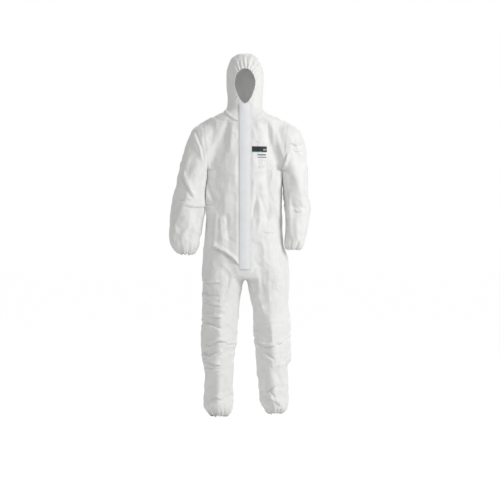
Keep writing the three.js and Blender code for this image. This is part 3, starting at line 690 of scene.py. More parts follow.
def folds(mesh):
    """Moves the points of the fine mesh outwards and inwards along its normals."""
    rest = rest_of(mesh)
    points = points_of(mesh)
    normals = np.empty(len(points) * 3, np.float32)
    mesh.vertex_normals.foreach_get("vector", normals)
    normals = normals.reshape(-1, 3).astype(float)
    x, y, z = rest.T
    move = np.zeros(len(x))
    sleeve, hood = is_sleeve(rest), is_hood(rest)
    for path, width, depth, side in FRONT_FOLDS:
        move += stroke(rest, path, width, depth * 1.45, side)
    move *= np.where(y < 0, 1.0, 1 - smooth(0, 40, y))
    for path, width, depth, side in BACK_FOLDS:
        move += stroke(rest, path, width, depth, side, front=False) * smooth(-10, 40, y)
    # crumpled cloth
    warp = np.stack([lattice(rest / 60, k) for k in (1, 2, 3)], 1) * 1.6
    crumple = ridges(rest / np.array([70, 70, 95]) + warp, 5) * 2.6
    crumple += ridges(rest / np.array([34, 34, 42]) + warp, 7) * 1.2
    crumple += ridges(rest / 15 + warp, 9) * 0.35
    around = 0.55 + 0.8 * lattice(rest / 140, 11)
    move += crumple * around * np.where(hood, 0.55, 1.0)
    # across the knees and elbows
    across = ridges(np.stack([x / 120, y / 120, z / 26 + 0.6 * lattice(rest / 50, 4)], 1), 13)
    legs = is_leg(rest)
    outer = np.where(x < -118, 1.7, 1.0)
    move += across * 2.6 * bump(z, KNEE - 40, 130) * legs * outer
    move += across * 2.0 * bump(z, ELBOW + 10, 70) * sleeve
    move += across * 2.2 * bump(z, 100, 55) * legs
    # gathers above the elastic of cuffs and ankles
    hem_lift = np.zeros(len(x))
    for s, g in SIGN.items():
        for member, name, low, count, seed in (
            (sleeve & (g * x > 0), f"sleeve_{s}", CUFF[s], 19, 21),
            (legs & (g * x > 0), f"leg_{s}", ANKLE[s], 21, 31),
        ):
            cx = column(name, 1, z)
            cy = (column(name, 3, z) + column(name, 4, z)) / 2
            turn = np.arctan2(y - cy, x - cx)
            sway = np.stack([np.cos(turn) * 2, np.sin(turn) * 2, z / 60], 1)
            wave = np.cos(turn * count + 3.5 * lattice(sway, seed))
            wave = np.abs(wave) ** 0.7 * np.sign(wave)
            fade = np.exp(-np.clip(z - low - 12, 0, 400) / 22) * member
            move += 3.0 * wave * fade
            move += seam_dip(z - low - 15, 2.4, 1.0) * member
            broad = np.cos(turn * 9 + 4 * lattice(sway * 0.7, seed + 1))
            move += 2.6 * broad * np.exp(-np.clip(z - low - 20, 0, 400) / 45) * member
            hem_lift += 2.0 * np.cos(turn * 7 + seed) * np.exp(-np.clip(z - low, 0, 400) / 20) * member
    # gathers round the face
    away = face_field(rest)
    middle = (CHIN + BROW) / 2 + 14
    turn = np.arctan2(z - middle, x)
    rim = (y < -20) & (z > CHIN - 30)
    wave = np.cos(turn * 31 + 4 * lattice(np.stack([np.cos(turn), np.sin(turn), away / 60], 1) * 2, 41))
    forehead = smooth(0.5, 0.95, np.sin(turn))
    reach = 12 + 26 * forehead
    quiet = smooth(PLACKET_X - 6, PLACKET_X + 8, np.abs(x)) * (z < CHIN + 40) + (z >= CHIN + 40)
    move += np.where(rim, (1.7 + 1.3 * forehead) * wave * np.exp(-np.clip(away - 7, 0, 300) / reach), 0) * quiet
    for px, top, bottom in ((-52, 1758, 1716), (-26, 1772, 1716), (-10, 1764, 1716), (8, 1770, 1716),
                            (38, 1762, 1714)):
        move += stroke(rest, [(px * 0.9, top), (px, (top + bottom) / 2), (px * 1.05, bottom)], 6, -3.2, 0)
    # waist elastic behind
    pleat = np.cos(x / 2.9 + 3 * lattice(rest / np.array([30, 30, 60]), 51))
    move += (y > SIDE_SEAM_Y) * ~sleeve * bump(z, WAIST, 30) * pleat * 2.4
    move -= (y > SIDE_SEAM_Y + 8) * ~sleeve * bump(z, WAIST, 20) * 3.0
    # seams
    body = ~sleeve & ~hood
    move += seam_dip(side_field(rest) * 1.0) * (body | legs | sleeve)
    move += seam_dip(arm_field(rest)) * (z > UNDERARM - 10) * (np.abs(x) > 120)
    move += seam_dip(neck_field(rest), 3.6, 1.6) * (np.abs(x) < 150)
    hood_seam = (np.abs(x) - HOOD_SEAM_X)
    move += seam_dip(hood_seam, 3.0, 1.3) * hood * ((y > 0) | (z > BROW - 13))
    move += seam_dip(x, 3.0, 1.0) * body * (y > 0)
    # the closure stays flat
    flat = np.where((y < -60) & (z < CHIN + 6) & (z > CROTCH + 6), smooth(27, 44, np.abs(x)), 1.0)
    move *= flat
    points = points + normals * move[:, None]
    points[:, 2] += hem_lift
    # body and sleeve stay clear of each other below the arm
    for s, g in SIGN.items():
        line = armhole_x(z, g)
        low = (z < UNDERARM + 6) & (z > CUFF[s] - 6)
        clear = 1.2 - 16 * smooth(UNDERARM - 46, UNDERARM + 6, z)
        out = g * points[:, 0]
        mine = sleeve & (g * x > 0) & low
        shut_low = 955 if g < 0 else 1105
        shut = smooth(shut_low, shut_low + 60, z) * (1 - smooth(26, 46, np.abs(g * x - line))) * (g * x > 0)
        shut *= (z < UNDERARM + 10) & (np.abs(y) < 80)
        toward = np.where(mine, -1.0, 1.0) * np.clip(np.abs(out - line) - 1.6, 0, 11) * shut
        out = out + np.where(mine | ~sleeve, toward, 0)
        out = np.where(mine, np.maximum(out, line + clear), out)
        body_side = ~sleeve & (g * x > 0) & low
        room = 30 * (1 - smooth(CUFF[s] - 6, CUFF[s] + 60, z))
        out = np.where(body_side, np.minimum(out, line - clear + room), out)
        points[:, 0] = np.where(g * x > 0, g * out, points[:, 0])
    front_limit = np.where((np.abs(x) < 30) & (y < -60) & (z < CHIN + 6) & (z > CROTCH + 6), FRONT, -140)
    points[:, 1] = np.maximum(points[:, 1], front_limit)
    set_points(mesh, points)
    return mesh


# ---------------------------------------------------------------- pieces


def cut_all(mesh):
    bm = bmesh.new()
    bm.from_mesh(mesh)
    zip_zone = lambda p: (p[:, 1] < 0) & (p[:, 2] > ZIP_BOTTOM - 14) & (p[:, 2] < CHIN + 20) & (np.abs(p[:, 0]) < 40)
    cut(bm, arm_field, lambda p: (np.abs(p[:, 0]) > 150) & (p[:, 2] > UNDERARM - 60))
    cut(bm, neck_field, lambda p: np.abs(p[:, 0]) < 205)
    cut(bm, hip_field, lambda p: (p[:, 2] < CUFF["right"] - 10))
    cut(bm, side_field, lambda p: ~is_sleeve(p) & (hip_field(p) > -30) & (neck_field(p) < 30))
    cut(bm, lambda p: p[:, 2] - ELBOW_CUT, lambda p: is_sleeve(p))
    cut(bm, lambda p: p[:, 2] - KNEE_CUT, lambda p: p[:, 2] < CROTCH - 60)
    cut(bm, lambda p: np.abs(p[:, 0]) - HOOD_SEAM_X, lambda p: neck_field(p) > -20)
    cut(bm, lambda p: p[:, 2] - (BROW - 13), lambda p: (p[:, 1] < 0) & (np.abs(p[:, 0]) < HOOD_SEAM_X + 12))
    cut(bm, lambda p: np.abs(p[:, 0]) - PLACKET_X, lambda p: (p[:, 1] < 0) & (neck_field(p) > -20) & (p[:, 2] < BROW))
    cut(bm, lambda p: p[:, 0], lambda p: (hip_field(p) > -10) & (p[:, 2] < CHIN + 20) & ~zip_zone(p))
    cut(bm, lambda p: np.abs(p[:, 0]) - GUSSET_X, lambda p: np.abs(hip_field(p)) < 60)
    cut(bm, lambda p: p[:, 2] - ZIP_BOTTOM, lambda p: (p[:, 1] < 0) & (np.abs(p[:, 0]) < 24))
    cut(bm, lambda p: np.abs(p[:, 0]) - SLOT_X, zip_zone)
    bm.to_mesh(mesh)
    bm.free()
    mesh.update()
    return mesh


def sort_faces(c):
    """The name of the piece that each face belongs to, from its middle."""
    x, y, z = c.T
    side = np.where(x < 0, "right", "left")
    name = np.where(y < SIDE_SEAM_Y, "body_front_", "body_back_").astype(object) + side
    slot = (np.abs(x) < SLOT_X) & (y < 0) & (z > ZIP_BOTTOM) & (z < CHIN + 30)
    sleeve, hood, leg = is_sleeve(c), is_hood(c), is_leg(c)
    name = np.where(leg, np.where(z > KNEE_CUT, "leg_upper_", "leg_lower_").astype(object) + side, name)
    name = np.where(leg & (np.abs(x) < GUSSET_X) & (z > CROTCH - 60), "crotch_strip", name)
    name = np.where(hood, np.array("hood_side_", object) + side, name)
    centre = (np.abs(x) < HOOD_SEAM_X) & ((y > 0) | (z > BROW - 13))
    name = np.where(hood & centre, "hood_centre", name)
    chin = hood & (np.abs(x) < PLACKET_X) & (y < 0) & (z < BROW - 60)
    name = np.where(chin, np.array("chin_", object) + side, name)
    name = np.where(sleeve, np.where(z > ELBOW_CUT, "sleeve_upper_", "sleeve_lower_").astype(object) + side, name)
    return np.where(slot, "", name)


class Garment:
    """The whole skin as arrays: points in mm, rest points, normals and corners of the faces."""

    def __init__(self, mesh):
        self.points = points_of(mesh)
        self.rest = rest_of(mesh)
        normals = np.empty(len(self.points) * 3, np.float32)
        mesh.vertex_normals.foreach_get("vector", normals)
        self.normals = normals.reshape(-1, 3).astype(float)
        self.faces = [tuple(p.vertices) for p in mesh.polygons]
        self.middles = np.array([self.rest[list(f)].mean(0) for f in self.faces])
        self.names = sort_faces(self.middles)

    def piece(self, name, chosen, out=0.0, wall=CLOTH):
        """A walled piece made of the chosen faces: its outside lies out mm from the skin."""
        faces = [self.faces[i] for i in np.nonzero(chosen)[0]]
        used = sorted({v for f in faces for v in f})
        index = {v: i for i, v in enumerate(used)}
        faces = [tuple(index[v] for v in f) for f in faces]
        n = len(used)
        normal = self.normals[used]
        outside = self.points[used] + normal * out
        inside = outside - normal * wall
        edges = {}
        for f in faces:
            for a, b in zip(f, f[1:] + f[:1]):
                if (b, a) in edges:
                    del edges[(b, a)]
                else:
                    edges[(a, b)] = True
        rim = [(b, a, a + n, b + n) for a, b in edges]
        every = faces + [tuple(v + n for v in reversed(f)) for f in faces] + rim
        verts = to_frame(np.concatenate([outside, inside]))
        mesh = mesh_of(name, verts, every)
        attribute = mesh.attributes.new("rest", "FLOAT_VECTOR", "POINT")
        rest = to_frame(np.concatenate([self.rest[used]] * 2))
        attribute.data.foreach_set("vector", rest.astype(np.float32).ravel())
        mesh.shade_smooth()
        both = np.concatenate([normal, -normal])
        loops = np.empty(len(mesh.loops), np.int32)
        mesh.loops.foreach_get("vertex_index", loops)
        split = both[loops]
        rim_start = sum(len(f) for f in faces) * 2
        for k, f in enumerate(rim):
            a, b, c = (verts[i] for i in f[:3])
            flat = np.cross(b - a, c - a)
            flat = flat / (np.linalg.norm(flat) + 1e-12)
            split[rim_start + 4 * k: rim_start + 4 * k + 4] = flat
        mesh.normals_split_custom_set([tuple(v) for v in split])
        obj = bpy.data.objects.new(name, mesh)
        bpy.context.scene.collection.objects.link(obj)
        return obj


# ---------------------------------------------------------------- materials


def material(name, colour, rough, metal=0.0):
    mat = bpy.data.materials.new(name)
    mat.use_nodes = True
    shader = mat.node_tree.nodes["Principled BSDF"]
    shader.inputs["Base Color"].default_value = (*colour, 1)
    shader.inputs["Roughness"].default_value = rough
    shader.inputs["Metallic"].default_value = metal
    return mat, mat.node_tree, shader


def add(tree, kind, **values):
    node = tree.nodes.new(kind)
    for key, value in values.items():
        if key in node.inputs:
            node.inputs[key].default_value = value
        else:
            setattr(node, key, value)
    return node


def cloth_material(name, light, dark, rough=0.62, source="rest", bond=0.35, fibre=0.5, sheen=0.25):
    """Bonded nonwoven: a fine fibre web pressed with rows of small bond points, and a little uneven."""
    mat, tree, shader = material(name, light, rough)
    link = tree.links.new
    if source == "rest":
        place = add(tree, "ShaderNodeAttribute", attribute_name="rest").outputs["Vector"]
    else:
        place = add(tree, "ShaderNodeTexCoord").outputs["Object"]
    cloud = add(tree, "ShaderNodeTexNoise", Scale=22.0, Detail=5.0, Roughness=0.6)
    fibres = add(tree, "ShaderNodeTexNoise", Scale=900.0, Detail=3.0, Roughness=0.7, Distortion=1.4)
    points = add(tree, "ShaderNodeTexVoronoi", Scale=620.0, Randomness=0.15)
    for texture in (cloud, fibres, points):
        link(place, texture.inputs["Vector"])
    mix = add(tree, "ShaderNodeMix", data_type="RGBA")
    mix.inputs["A"].default_value = (*light, 1)
    mix.inputs["B"].default_value = (*dark, 1)
    ramp = add(tree, "ShaderNodeMapRange")
    ramp.inputs["From Min"].default_value = 0.38
    ramp.inputs["From Max"].default_value = 0.72
    link(cloud.outputs["Fac"], ramp.inputs["Value"])
    link(ramp.outputs["Result"], mix.inputs["Factor"])
    link(mix.outputs["Result"], shader.inputs["Base Color"])
    rough_range = add(tree, "ShaderNodeMapRange")
    rough_range.inputs["To Min"].default_value = rough - 0.07
    rough_range.inputs["To Max"].default_value = rough + 0.09
    link(fibres.outputs["Fac"], rough_range.inputs["Value"])
    link(rough_range.outputs["Result"], shader.inputs["Roughness"])
    web = add(tree, "ShaderNodeBump", Strength=fibre * 0.35, Distance=0.0004)
    pressed = add(tree, "ShaderNodeBump", Strength=bond, Distance=0.0003)
    link(fibres.outputs["Fac"], web.inputs["Height"])
    link(points.outputs["Distance"], pressed.inputs["Height"])
    link(web.outputs["Normal"], pressed.inputs["Normal"])
    link(pressed.outputs["Normal"], shader.inputs["Normal"])
    shader.inputs["Sheen Weight"].default_value = sheen
    shader.inputs["Sheen Roughness"].default_value = 0.5
    shader.inputs["Specular IOR Level"].default_value = 0.35
    return mat


def woven_material(name, light, dark, pitch, rough=0.8):
    """Tape and elastic: fine ribs along the height, crossed by weft lines."""
    mat, tree, shader = material(name, light, rough)
    link = tree.links.new
    place = add(tree, "ShaderNodeTexCoord").outputs["Object"]
    ribs = add(tree, "ShaderNodeTexWave", Scale=1 / pitch, Distortion=0.4, Detail=1.0)
    ribs.bands_direction = "Z"
    weft = add(tree, "ShaderNodeTexWave", Scale=1.4 / pitch, Distortion=0.3, Detail=1.0)
    weft.bands_direction = "X"
    worn = add(tree, "ShaderNodeTexNoise", Scale=60.0, Detail=4.0)
    for texture in (ribs, weft, worn):
        link(place, texture.inputs["Vector"])
    blend = add(tree, "ShaderNodeMath", operation="MULTIPLY")
    link(ribs.outputs["Fac"], blend.inputs[0])
    link(weft.outputs["Fac"], blend.inputs[1])
    tint = add(tree, "ShaderNodeMath", operation="MULTIPLY")
    link(blend.outputs[0], tint.inputs[0])
    link(worn.outputs["Fac"], tint.inputs[1])
    mix = add(tree, "ShaderNodeMix", data_type="RGBA")
    mix.inputs["A"].default_value = (*dark, 1)
    mix.inputs["B"].default_value = (*light, 1)
    link(tint.outputs[0], mix.inputs["Factor"])
    link(mix.outputs["Result"], shader.inputs["Base Color"])
    relief = add(tree, "ShaderNodeBump", Strength=0.5, Distance=0.0004)
    link(blend.outputs[0], relief.inputs["Height"])
    link(relief.outputs["Normal"], shader.inputs["Normal"])
    return mat


def worn_material(name, light, dark, rough, metal=0.0, coat=0.0):
    """Painted metal or moulded nylon with slight handling marks."""
    mat, tree, shader = material(name, light, rough, metal)
    link = tree.links.new
    place = add(tree, "ShaderNodeTexCoord").outputs["Object"]
    marks = add(tree, "ShaderNodeTexNoise", Scale=260.0, Detail=6.0, Roughness=0.65)
    scratches = add(tree, "ShaderNodeTexNoise", Scale=1400.0, Detail=2.0, Distortion=3.0)
    for texture in (marks, scratches):
        link(place, texture.inputs["Vector"])
    mix = add(tree, "ShaderNodeMix", data_type="RGBA")
    mix.inputs["A"].default_value = (*light, 1)
    mix.inputs["B"].default_value = (*dark, 1)
    ramp = add(tree, "ShaderNodeMapRange")
    ramp.inputs["From Min"].default_value = 0.5
    ramp.inputs["From Max"].default_value = 0.8
    link(marks.outputs["Fac"], ramp.inputs["Value"])
    link(ramp.outputs["Result"], mix.inputs["Factor"])
    link(mix.outputs["Result"], shader.inputs["Base Color"])
    spread = add(tree, "ShaderNodeMapRange")
    spread.inputs["To Min"].default_value = rough - 0.08
    spread.inputs["To Max"].default_value = rough + 0.12
    link(scratches.outputs["Fac"], spread.inputs["Value"])
    link(spread.outputs["Result"], shader.inputs["Roughness"])
    relief = add(tree, "ShaderNodeBump", Strength=0.12, Distance=0.0002)
    link(marks.outputs["Fac"], relief.inputs["Height"])
    link(relief.outputs["Normal"], shader.inputs["Normal"])
    shader.inputs["Coat Weight"].default_value = coat
    return mat


FABRIC = cloth_material("white_nonwoven", (0.80, 0.80, 0.785), (0.755, 0.757, 0.75))
FLAP_FABRIC = cloth_material("flap_nonwoven", (0.80, 0.81, 0.825), (0.765, 0.775, 0.79), source="object", rough=0.58)
ELASTIC = woven_material("elastic", (0.74, 0.74, 0.72), (0.55, 0.55, 0.54), 0.0016)
TAPE = woven_material("zip_tape_weave", (0.78, 0.78, 0.77), (0.60, 0.60, 0.59), 0.0011)
NYLON = worn_material("nylon", (0.80, 0.80, 0.79), (0.72, 0.72, 0.70), 0.38)
METAL = worn_material("painted_zinc", (0.79, 0.79, 0.78), (0.62, 0.62, 0.61), 0.32, 0.35, 0.3)
ADHESIVE = worn_material("adhesive_film", (0.86, 0.83, 0.74), (0.78, 0.74, 0.64), 0.28, 0.0, 0.4)
THREAD = worn_material("thread", (0.74, 0.745, 0.75), (0.62, 0.63, 0.64), 0.7)


def label_material():
    """A printed patch: a dark heading with a teal foot, a dark red rule and rows of plain grey bars."""
    mat, tree, shader = material("label_print", (0.8, 0.8, 0.79), 0.5)
    link = tree.links.new
    uv = add(tree, "ShaderNodeUVMap")
    split = add(tree, "ShaderNodeSeparateXYZ")
    link(uv.outputs["UV"], split.inputs["Vector"])
    across, up = split.outputs["X"], split.outputs["Y"]

    def step(value, low, high):
        a = add(tree, "ShaderNodeMath", operation="GREATER_THAN")
        b = add(tree, "ShaderNodeMath", operation="LESS_THAN")
        both = add(tree, "ShaderNodeMath", operation="MULTIPLY")
        link(value, a.inputs[0])
        link(value, b.inputs[0])
        a.inputs[1].default_value = low
        b.inputs[1].default_value = high
        link(a.outputs[0], both.inputs[0])
        link(b.outputs[0], both.inputs[1])
        return both.outputs[0]

    fibre = add(tree, "ShaderNodeTexNoise", Scale=700.0, Detail=3.0)
    place = add(tree, "ShaderNodeTexCoord").outputs["Object"]
    link(place, fibre.inputs["Vector"])
    ground = add(tree, "ShaderNodeMix", data_type="RGBA")
    ground.inputs["A"].default_value = (0.78, 0.78, 0.77, 1)
    ground.inputs["B"].default_value = (0.84, 0.84, 0.83, 1)
    link(fibre.outputs["Fac"], ground.inputs["Factor"])
    colour = ground.outputs["Result"]
    bars = [
        (0.00, 0.93, 0.765, 0.995, (0.012, 0.016, 0.018)),
        (0.00, 0.62, 0.765, 0.800, (0.05, 0.30, 0.27)),
        (0.70, 0.90, 0.865, 0.885, (0.55, 0.55, 0.55)),
        (0.70, 0.84, 0.835, 0.848, (0.42, 0.42, 0.42)),
        (0.34, 0.88, 0.640, 0.700, (0.22, 0.23, 0.24)),
        (0.36, 0.90, 0.560, 0.590, (0.07, 0.012, 0.014)),
        (0.40, 0.70, 0.470, 0.486, (0.62, 0.65, 0.65)),
        (0.40, 0.82, 0.430, 0.446, (0.62, 0.65, 0.65)),
        (0.40, 0.64, 0.390, 0.406, (0.62, 0.65, 0.65)),
        (0.40, 0.78, 0.310, 0.330, (0.66, 0.69, 0.69)),
        (0.40, 0.56, 0.150, 0.260, (0.68, 0.71, 0.71)),
        (0.62, 0.78, 0.150, 0.260, (0.68, 0.71, 0.71)),
        (0.965, 0.985, 0.02, 0.98, (0.64, 0.64, 0.64)),
    ]
    for x0, x1, y0, y1, paint in bars:
        inside = add(tree, "ShaderNodeMath", operation="MULTIPLY")
        link(step(across, x0, x1), inside.inputs[0])
        link(step(up, y0, y1), inside.inputs[1])
        over = add(tree, "ShaderNodeMix", data_type="RGBA")
        over.inputs["B"].default_value = (*paint, 1)
        link(inside.outputs[0], over.inputs["Factor"])
        link(colour, over.inputs["A"])
        colour = over.outputs["Result"]
    link(colour, shader.inputs["Base Color"])
    relief = add(tree, "ShaderNodeBump", Strength=0.15, Distance=0.0002)
    link(fibre.outputs["Fac"], relief.inputs["Height"])
    link(relief.outputs["Normal"], shader.inputs["Normal"])
    return mat


LABEL = label_material()


# ---------------------------------------------------------------- the garment's pieces

levels = 2
skin = make_skin()
set_points(skin, bring_arms_in(points_of(skin)))
with_rest(skin)
skin = open_ends(skin)
skin = hang(skin)
fine = scratch_object("fine", skin)
subdivide = fine.modifiers.new("fine", "SUBSURF")
subdivide.levels = subdivide.render_levels = levels
fine = baked(fine)
fine = cut_all(folds(fine))
garment = Garment(fine)


def dress(obj, mat, slot, *nodes):
    obj.data.materials.clear()
    obj.data.materials.append(mat)
    if nodes:
        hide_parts(*nodes)
    return obj


NECK_AXIS = Vector((0, -math.sin(math.radians(25)), math.cos(math.radians(25))))
HOOD_BLEND = (frame_point(0, FRONT, NECK), frame_point(0, FRONT, NECK) + NECK_AXIS * 0.10)


def arm_blend(s):
    g = SIGN[s]
    direction = Vector((g * math.cos(math.radians(20)), 0, -math.sin(math.radians(20))))
    start = frame_point(g * 196, 0, UNDERARM)
    return start, start + direction * 0.042


def elbow_blend(s):
    x = SIGN[s] * 280
    return frame_point(x, 0, ELBOW + 45), frame_point(x, 0, ELBOW - 45)


def hip_blend(s):
    down = Vector((0, math.sin(math.radians(20)), -math.cos(math.radians(20))))
    start = frame_point(SIGN[s] * 115, 128, CROTCH)
    return start, start + down * 0.085


def knee_blend(s):
    x = SIGN[s] * 130
    return frame_point(x, 0, KNEE + 50), frame_point(x, 0, KNEE - 50)


# name, bodies, line of the bend, nodes that it stands for
FABRIC_PIECES = []
for s in SIGN:
    FABRIC_PIECES += [
        (f"body_front_{s}", "torso", None, (f"torso_front_{s}",)),
        (f"body_back_{s}", "torso", None, (f"torso_back_{s}",)),
        (f"chin_{s}", "torso", None, (f"chin_placket_{s}",)),
        (f"sleeve_upper_{s}", ("torso", f"upper_sleeve_{s}"), arm_blend(s), (f"upper_sleeve_{s}",)),
        (f"sleeve_lower_{s}", (f"upper_sleeve_{s}", f"lower_sleeve_{s}"), elbow_blend(s),
         (f"lower_sleeve_{s}", f"elbow_fold_{s}")),
        (f"leg_upper_{s}", ("torso", f"upper_leg_{s}"), hip_blend(s), (f"upper_leg_{s}", f"hip_fold_{s}")),
        (f"leg_lower_{s}", (f"upper_leg_{s}", f"lower_leg_{s}"), knee_blend(s),
         (f"lower_leg_{s}", f"knee_fold_{s}")),
        (f"hood_side_{s}", ("torso", "hood"), HOOD_BLEND, (f"hood_panel_{s}",)),
    ]
FABRIC_PIECES += [
    ("hood_centre", ("torso", "hood"), HOOD_BLEND, ("hood_centre_panel",)),
    ("crotch_strip", "torso", None, ("crotch_gusset",)),
]


# each pattern piece before sewing: the rectangle it is cut from in metres, and the share of it that it fills
FLAT_CUTS = {
    "body_front": (0.28, 0.87, 0.77), "body_back": (0.30, 0.90, 0.74), "chin": (0.03, 0.12, 0.75),
    "sleeve_upper": (0.54, 0.38, 0.71), "sleeve_lower_right": (0.52, 0.32, 0.93),
    "sleeve_lower_left": (0.44, 0.29, 0.94), "leg_upper": (0.66, 0.27, 0.75), "leg_lower": (0.58, 0.52, 0.86),
    "hood_side": (0.24, 0.36, 0.72), "hood_centre": (0.125, 0.52, 0.95), "crotch_strip": (0.014, 0.27, 0.9),
}


def hold(obj, bodies, line):
    if line is None:
        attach(obj, bodies)
    else:
        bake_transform(obj)


made = {}
for name, bodies, line, nodes in FABRIC_PIECES:
    obj = garment.piece(name, garment.names == name)
    dress(obj, FABRIC, "fabric", *nodes)
    hold(obj, bodies, line)
    width, length, share = FLAT_CUTS.get(name, FLAT_CUTS.get(name.replace("_right", "").replace("_left", "")))
    made[name] = obj


# ---------------------------------------------------------------- elastics

for s, g in SIGN.items():
    middles = garment.middles
    for part, body, hem, slot_node in (
        (f"sleeve_lower_{s}", (f"upper_sleeve_{s}", f"lower_sleeve_{s}"), CUFF[s], f"cuff_elastic_{s}"),
        (f"leg_lower_{s}", (f"upper_leg_{s}", f"lower_leg_{s}"), ANKLE[s], f"ankle_elastic_{s}"),
    ):
        chosen = (garment.names == part) & (middles[:, 2] > hem + 3) & (middles[:, 2] < hem + 15)
        band = garment.piece(slot_node + "_band", chosen, out=-1.1, wall=1.0)
        dress(band, ELASTIC, "elastic", slot_node)
        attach(band, body[1])

away = face_field(garment.middles)
rim = (away < 8) & (away > 0.5) & is_hood(garment.middles)
rim &= ~((np.abs(garment.middles[:, 0]) < PLACKET_X) & (garment.middles[:, 2] < BROW - 60))
face_band = garment.piece("face_band", rim, out=-1.1, wall=1.0)
dress(face_band, ELASTIC, "elastic", "hood_face_elastic")
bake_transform(face_band)
back = np.char.startswith(garment.names.astype(str), "body_back_")
waist = back & (np.abs(garment.middles[:, 2] - WAIST) < 12) & (garment.middles[:, 1] > SIDE_SEAM_Y + 12)
waist_band = garment.piece("waist_band", waist, out=-1.1, wall=1.0)
dress(waist_band, ELASTIC, "elastic", "waist_elastic")
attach(waist_band, "torso")

# ---------------------------------------------------------------- closure


def sheet_grid(name, across, up, surface, wall, uv=False):
    """A walled panel over x and height, whose outside lies at surface(x, z)."""
    gx, gz = np.meshgrid(across, up)
    gy = surface(gx, gz)
    outside = np.stack([gx, gy, gz], -1)
    inside = outside + np.array([0, wall, 0])
    rows, cols = gx.shape
    flat_out, flat_in = outside.reshape(-1, 3), inside.reshape(-1, 3)
    n = rows * cols
    faces = []
    for i in range(rows - 1):
        for j in range(cols - 1):
            a = i * cols + j
            faces.append((a, a + 1, a + cols + 1, a + cols))
            faces.append((a + cols + n, a + cols + 1 + n, a + 1 + n, a + n))
    edge = [j for j in range(cols)] + [i * cols + cols - 1 for i in range(1, rows)]
    edge += [(rows - 1) * cols + j for j in range(cols - 2, -1, -1)] + [i * cols for i in range(rows - 2, 0, -1)]
    for a, b in zip(edge, edge[1:] + edge[:1]):
        faces.append((b, a, a + n, b + n))
    mesh = mesh_of(name, to_frame(np.concatenate([flat_out, flat_in])), faces)
    if uv:
        layer = mesh.uv_layers.new(name="print")
        width, height = across[-1] - across[0], up[-1] - up[0]
        spots = np.concatenate([flat_out, flat_in])
        for loop in mesh.loops:
            spot = spots[loop.vertex_index]
            layer.data[loop.index].uv = ((spot[0] - across[0]) / width, (spot[2] - up[0]) / height)
    mesh.shade_smooth()
    obj = bpy.data.objects.new(name, mesh)
    bpy.context.scene.collection.objects.link(obj)
    return obj


def block(name, corner, opposite, radius, segments=3):
    """A box between two corners with rounded edges."""
    bm = bmesh.new()
    bmesh.ops.create_cube(bm, size=1)
    a, b = np.array(corner, float), np.array(opposite, float)
    for v in bm.verts:
        v.co = Vector(to_frame((a + b) / 2 + np.array(v.co) * (b - a)))
    if radius:
        bmesh.ops.bevel(bm, geom=list(bm.edges), offset=radius * 0.001, segments=segments, affect="EDGES", profile=0.5)
    mesh = bpy.data.meshes.new(name)
    bm.to_mesh(mesh)
    bm.free()
    mesh.shade_smooth()
    obj = bpy.data.objects.new(name, mesh)
    bpy.context.scene.collection.objects.link(obj)
    return obj


FLAP_FREE, FLAP_SEWN = -28.0, 21.7
FLAP_LOW, FLAP_TOP = ZIP_BOTTOM - 6, CHIN - 1
PULL_MIDDLE = CHIN - 22


def flap_rise(x, z):
    """How far the outside of the flap stands off the panels."""
    arch = 1 - ((x - (FLAP_FREE + FLAP_SEWN) / 2) / 25) ** 2
    chain = 1.4 + 3.2 * np.clip(arch, 0, 1) ** 0.8
    pull = 2.4 * np.exp(-(((z - PULL_MIDDLE) / 24) ** 2)) * np.clip(arch, 0, 1) ** 0.6
    spots = np.stack([x.ravel() / 30, z.ravel() / 42, np.zeros(x.size)], 1)
    wave = (lattice(spots, 61).reshape(x.shape) - 0.35) * 0.9 * np.clip(arch + 0.25, 0, 1)
    hem = 0.35 * (np.exp(-(((x - FLAP_FREE - 5) / 0.8) ** 2)) + np.exp(-(((x - FLAP_SEWN + 3.5) / 0.8) ** 2)))
    return chain + pull + wave - hem


flap_across = np.linspace(FLAP_FREE, FLAP_SEWN, 44)
flap_up = np.linspace(FLAP_LOW, FLAP_TOP, 300)
flap = sheet_grid("flap_panel", flap_across, flap_up, lambda x, z: FRONT - flap_rise(x, z), 0.9)
dress(flap, FLAP_FABRIC, "fabric", "storm_flap")
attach(flap, "storm_flap")

tape_across = np.linspace(FLAP_FREE + 1, FLAP_FREE + 11, 6)
tape_up = np.linspace(FLAP_LOW + 10, FLAP_TOP - 10, 160)
sticky = sheet_grid("flap_sticky_tape", tape_across, tape_up, lambda x, z: FRONT - flap_rise(x, z) + 1.0, 0.25)
dress(sticky, ADHESIVE, "adhesive", "flap_adhesive_tape")
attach(sticky, "storm_flap")

strip_across = np.linspace(FLAP_SEWN + 0.2, FLAP_SEWN + 4.6, 7)


def strip_surface(x, z):
    t = (x - FLAP_SEWN) / 4.6
    edge = FRONT - flap_rise(np.full_like(x, FLAP_SEWN - 0.5), z)
    return edge + (FRONT - 0.6 - edge) * smooth(0.0, 1.0, t)


strip = sheet_grid("flap_seam", strip_across, flap_up, strip_surface, 0.5)
dress(strip, FLAP_FABRIC, "fabric", "flap_seam_strip")
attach(strip, "torso")

TAPE_FRONT = FRONT + 2.8
TEETH_FRONT, TEETH_BACK = TAPE_FRONT - 2.7, TAPE_FRONT - 0.3
ZIP_LOW, ZIP_TOP = ZIP_BOTTOM + 0.3, CHIN - 7
PITCH = 2.6


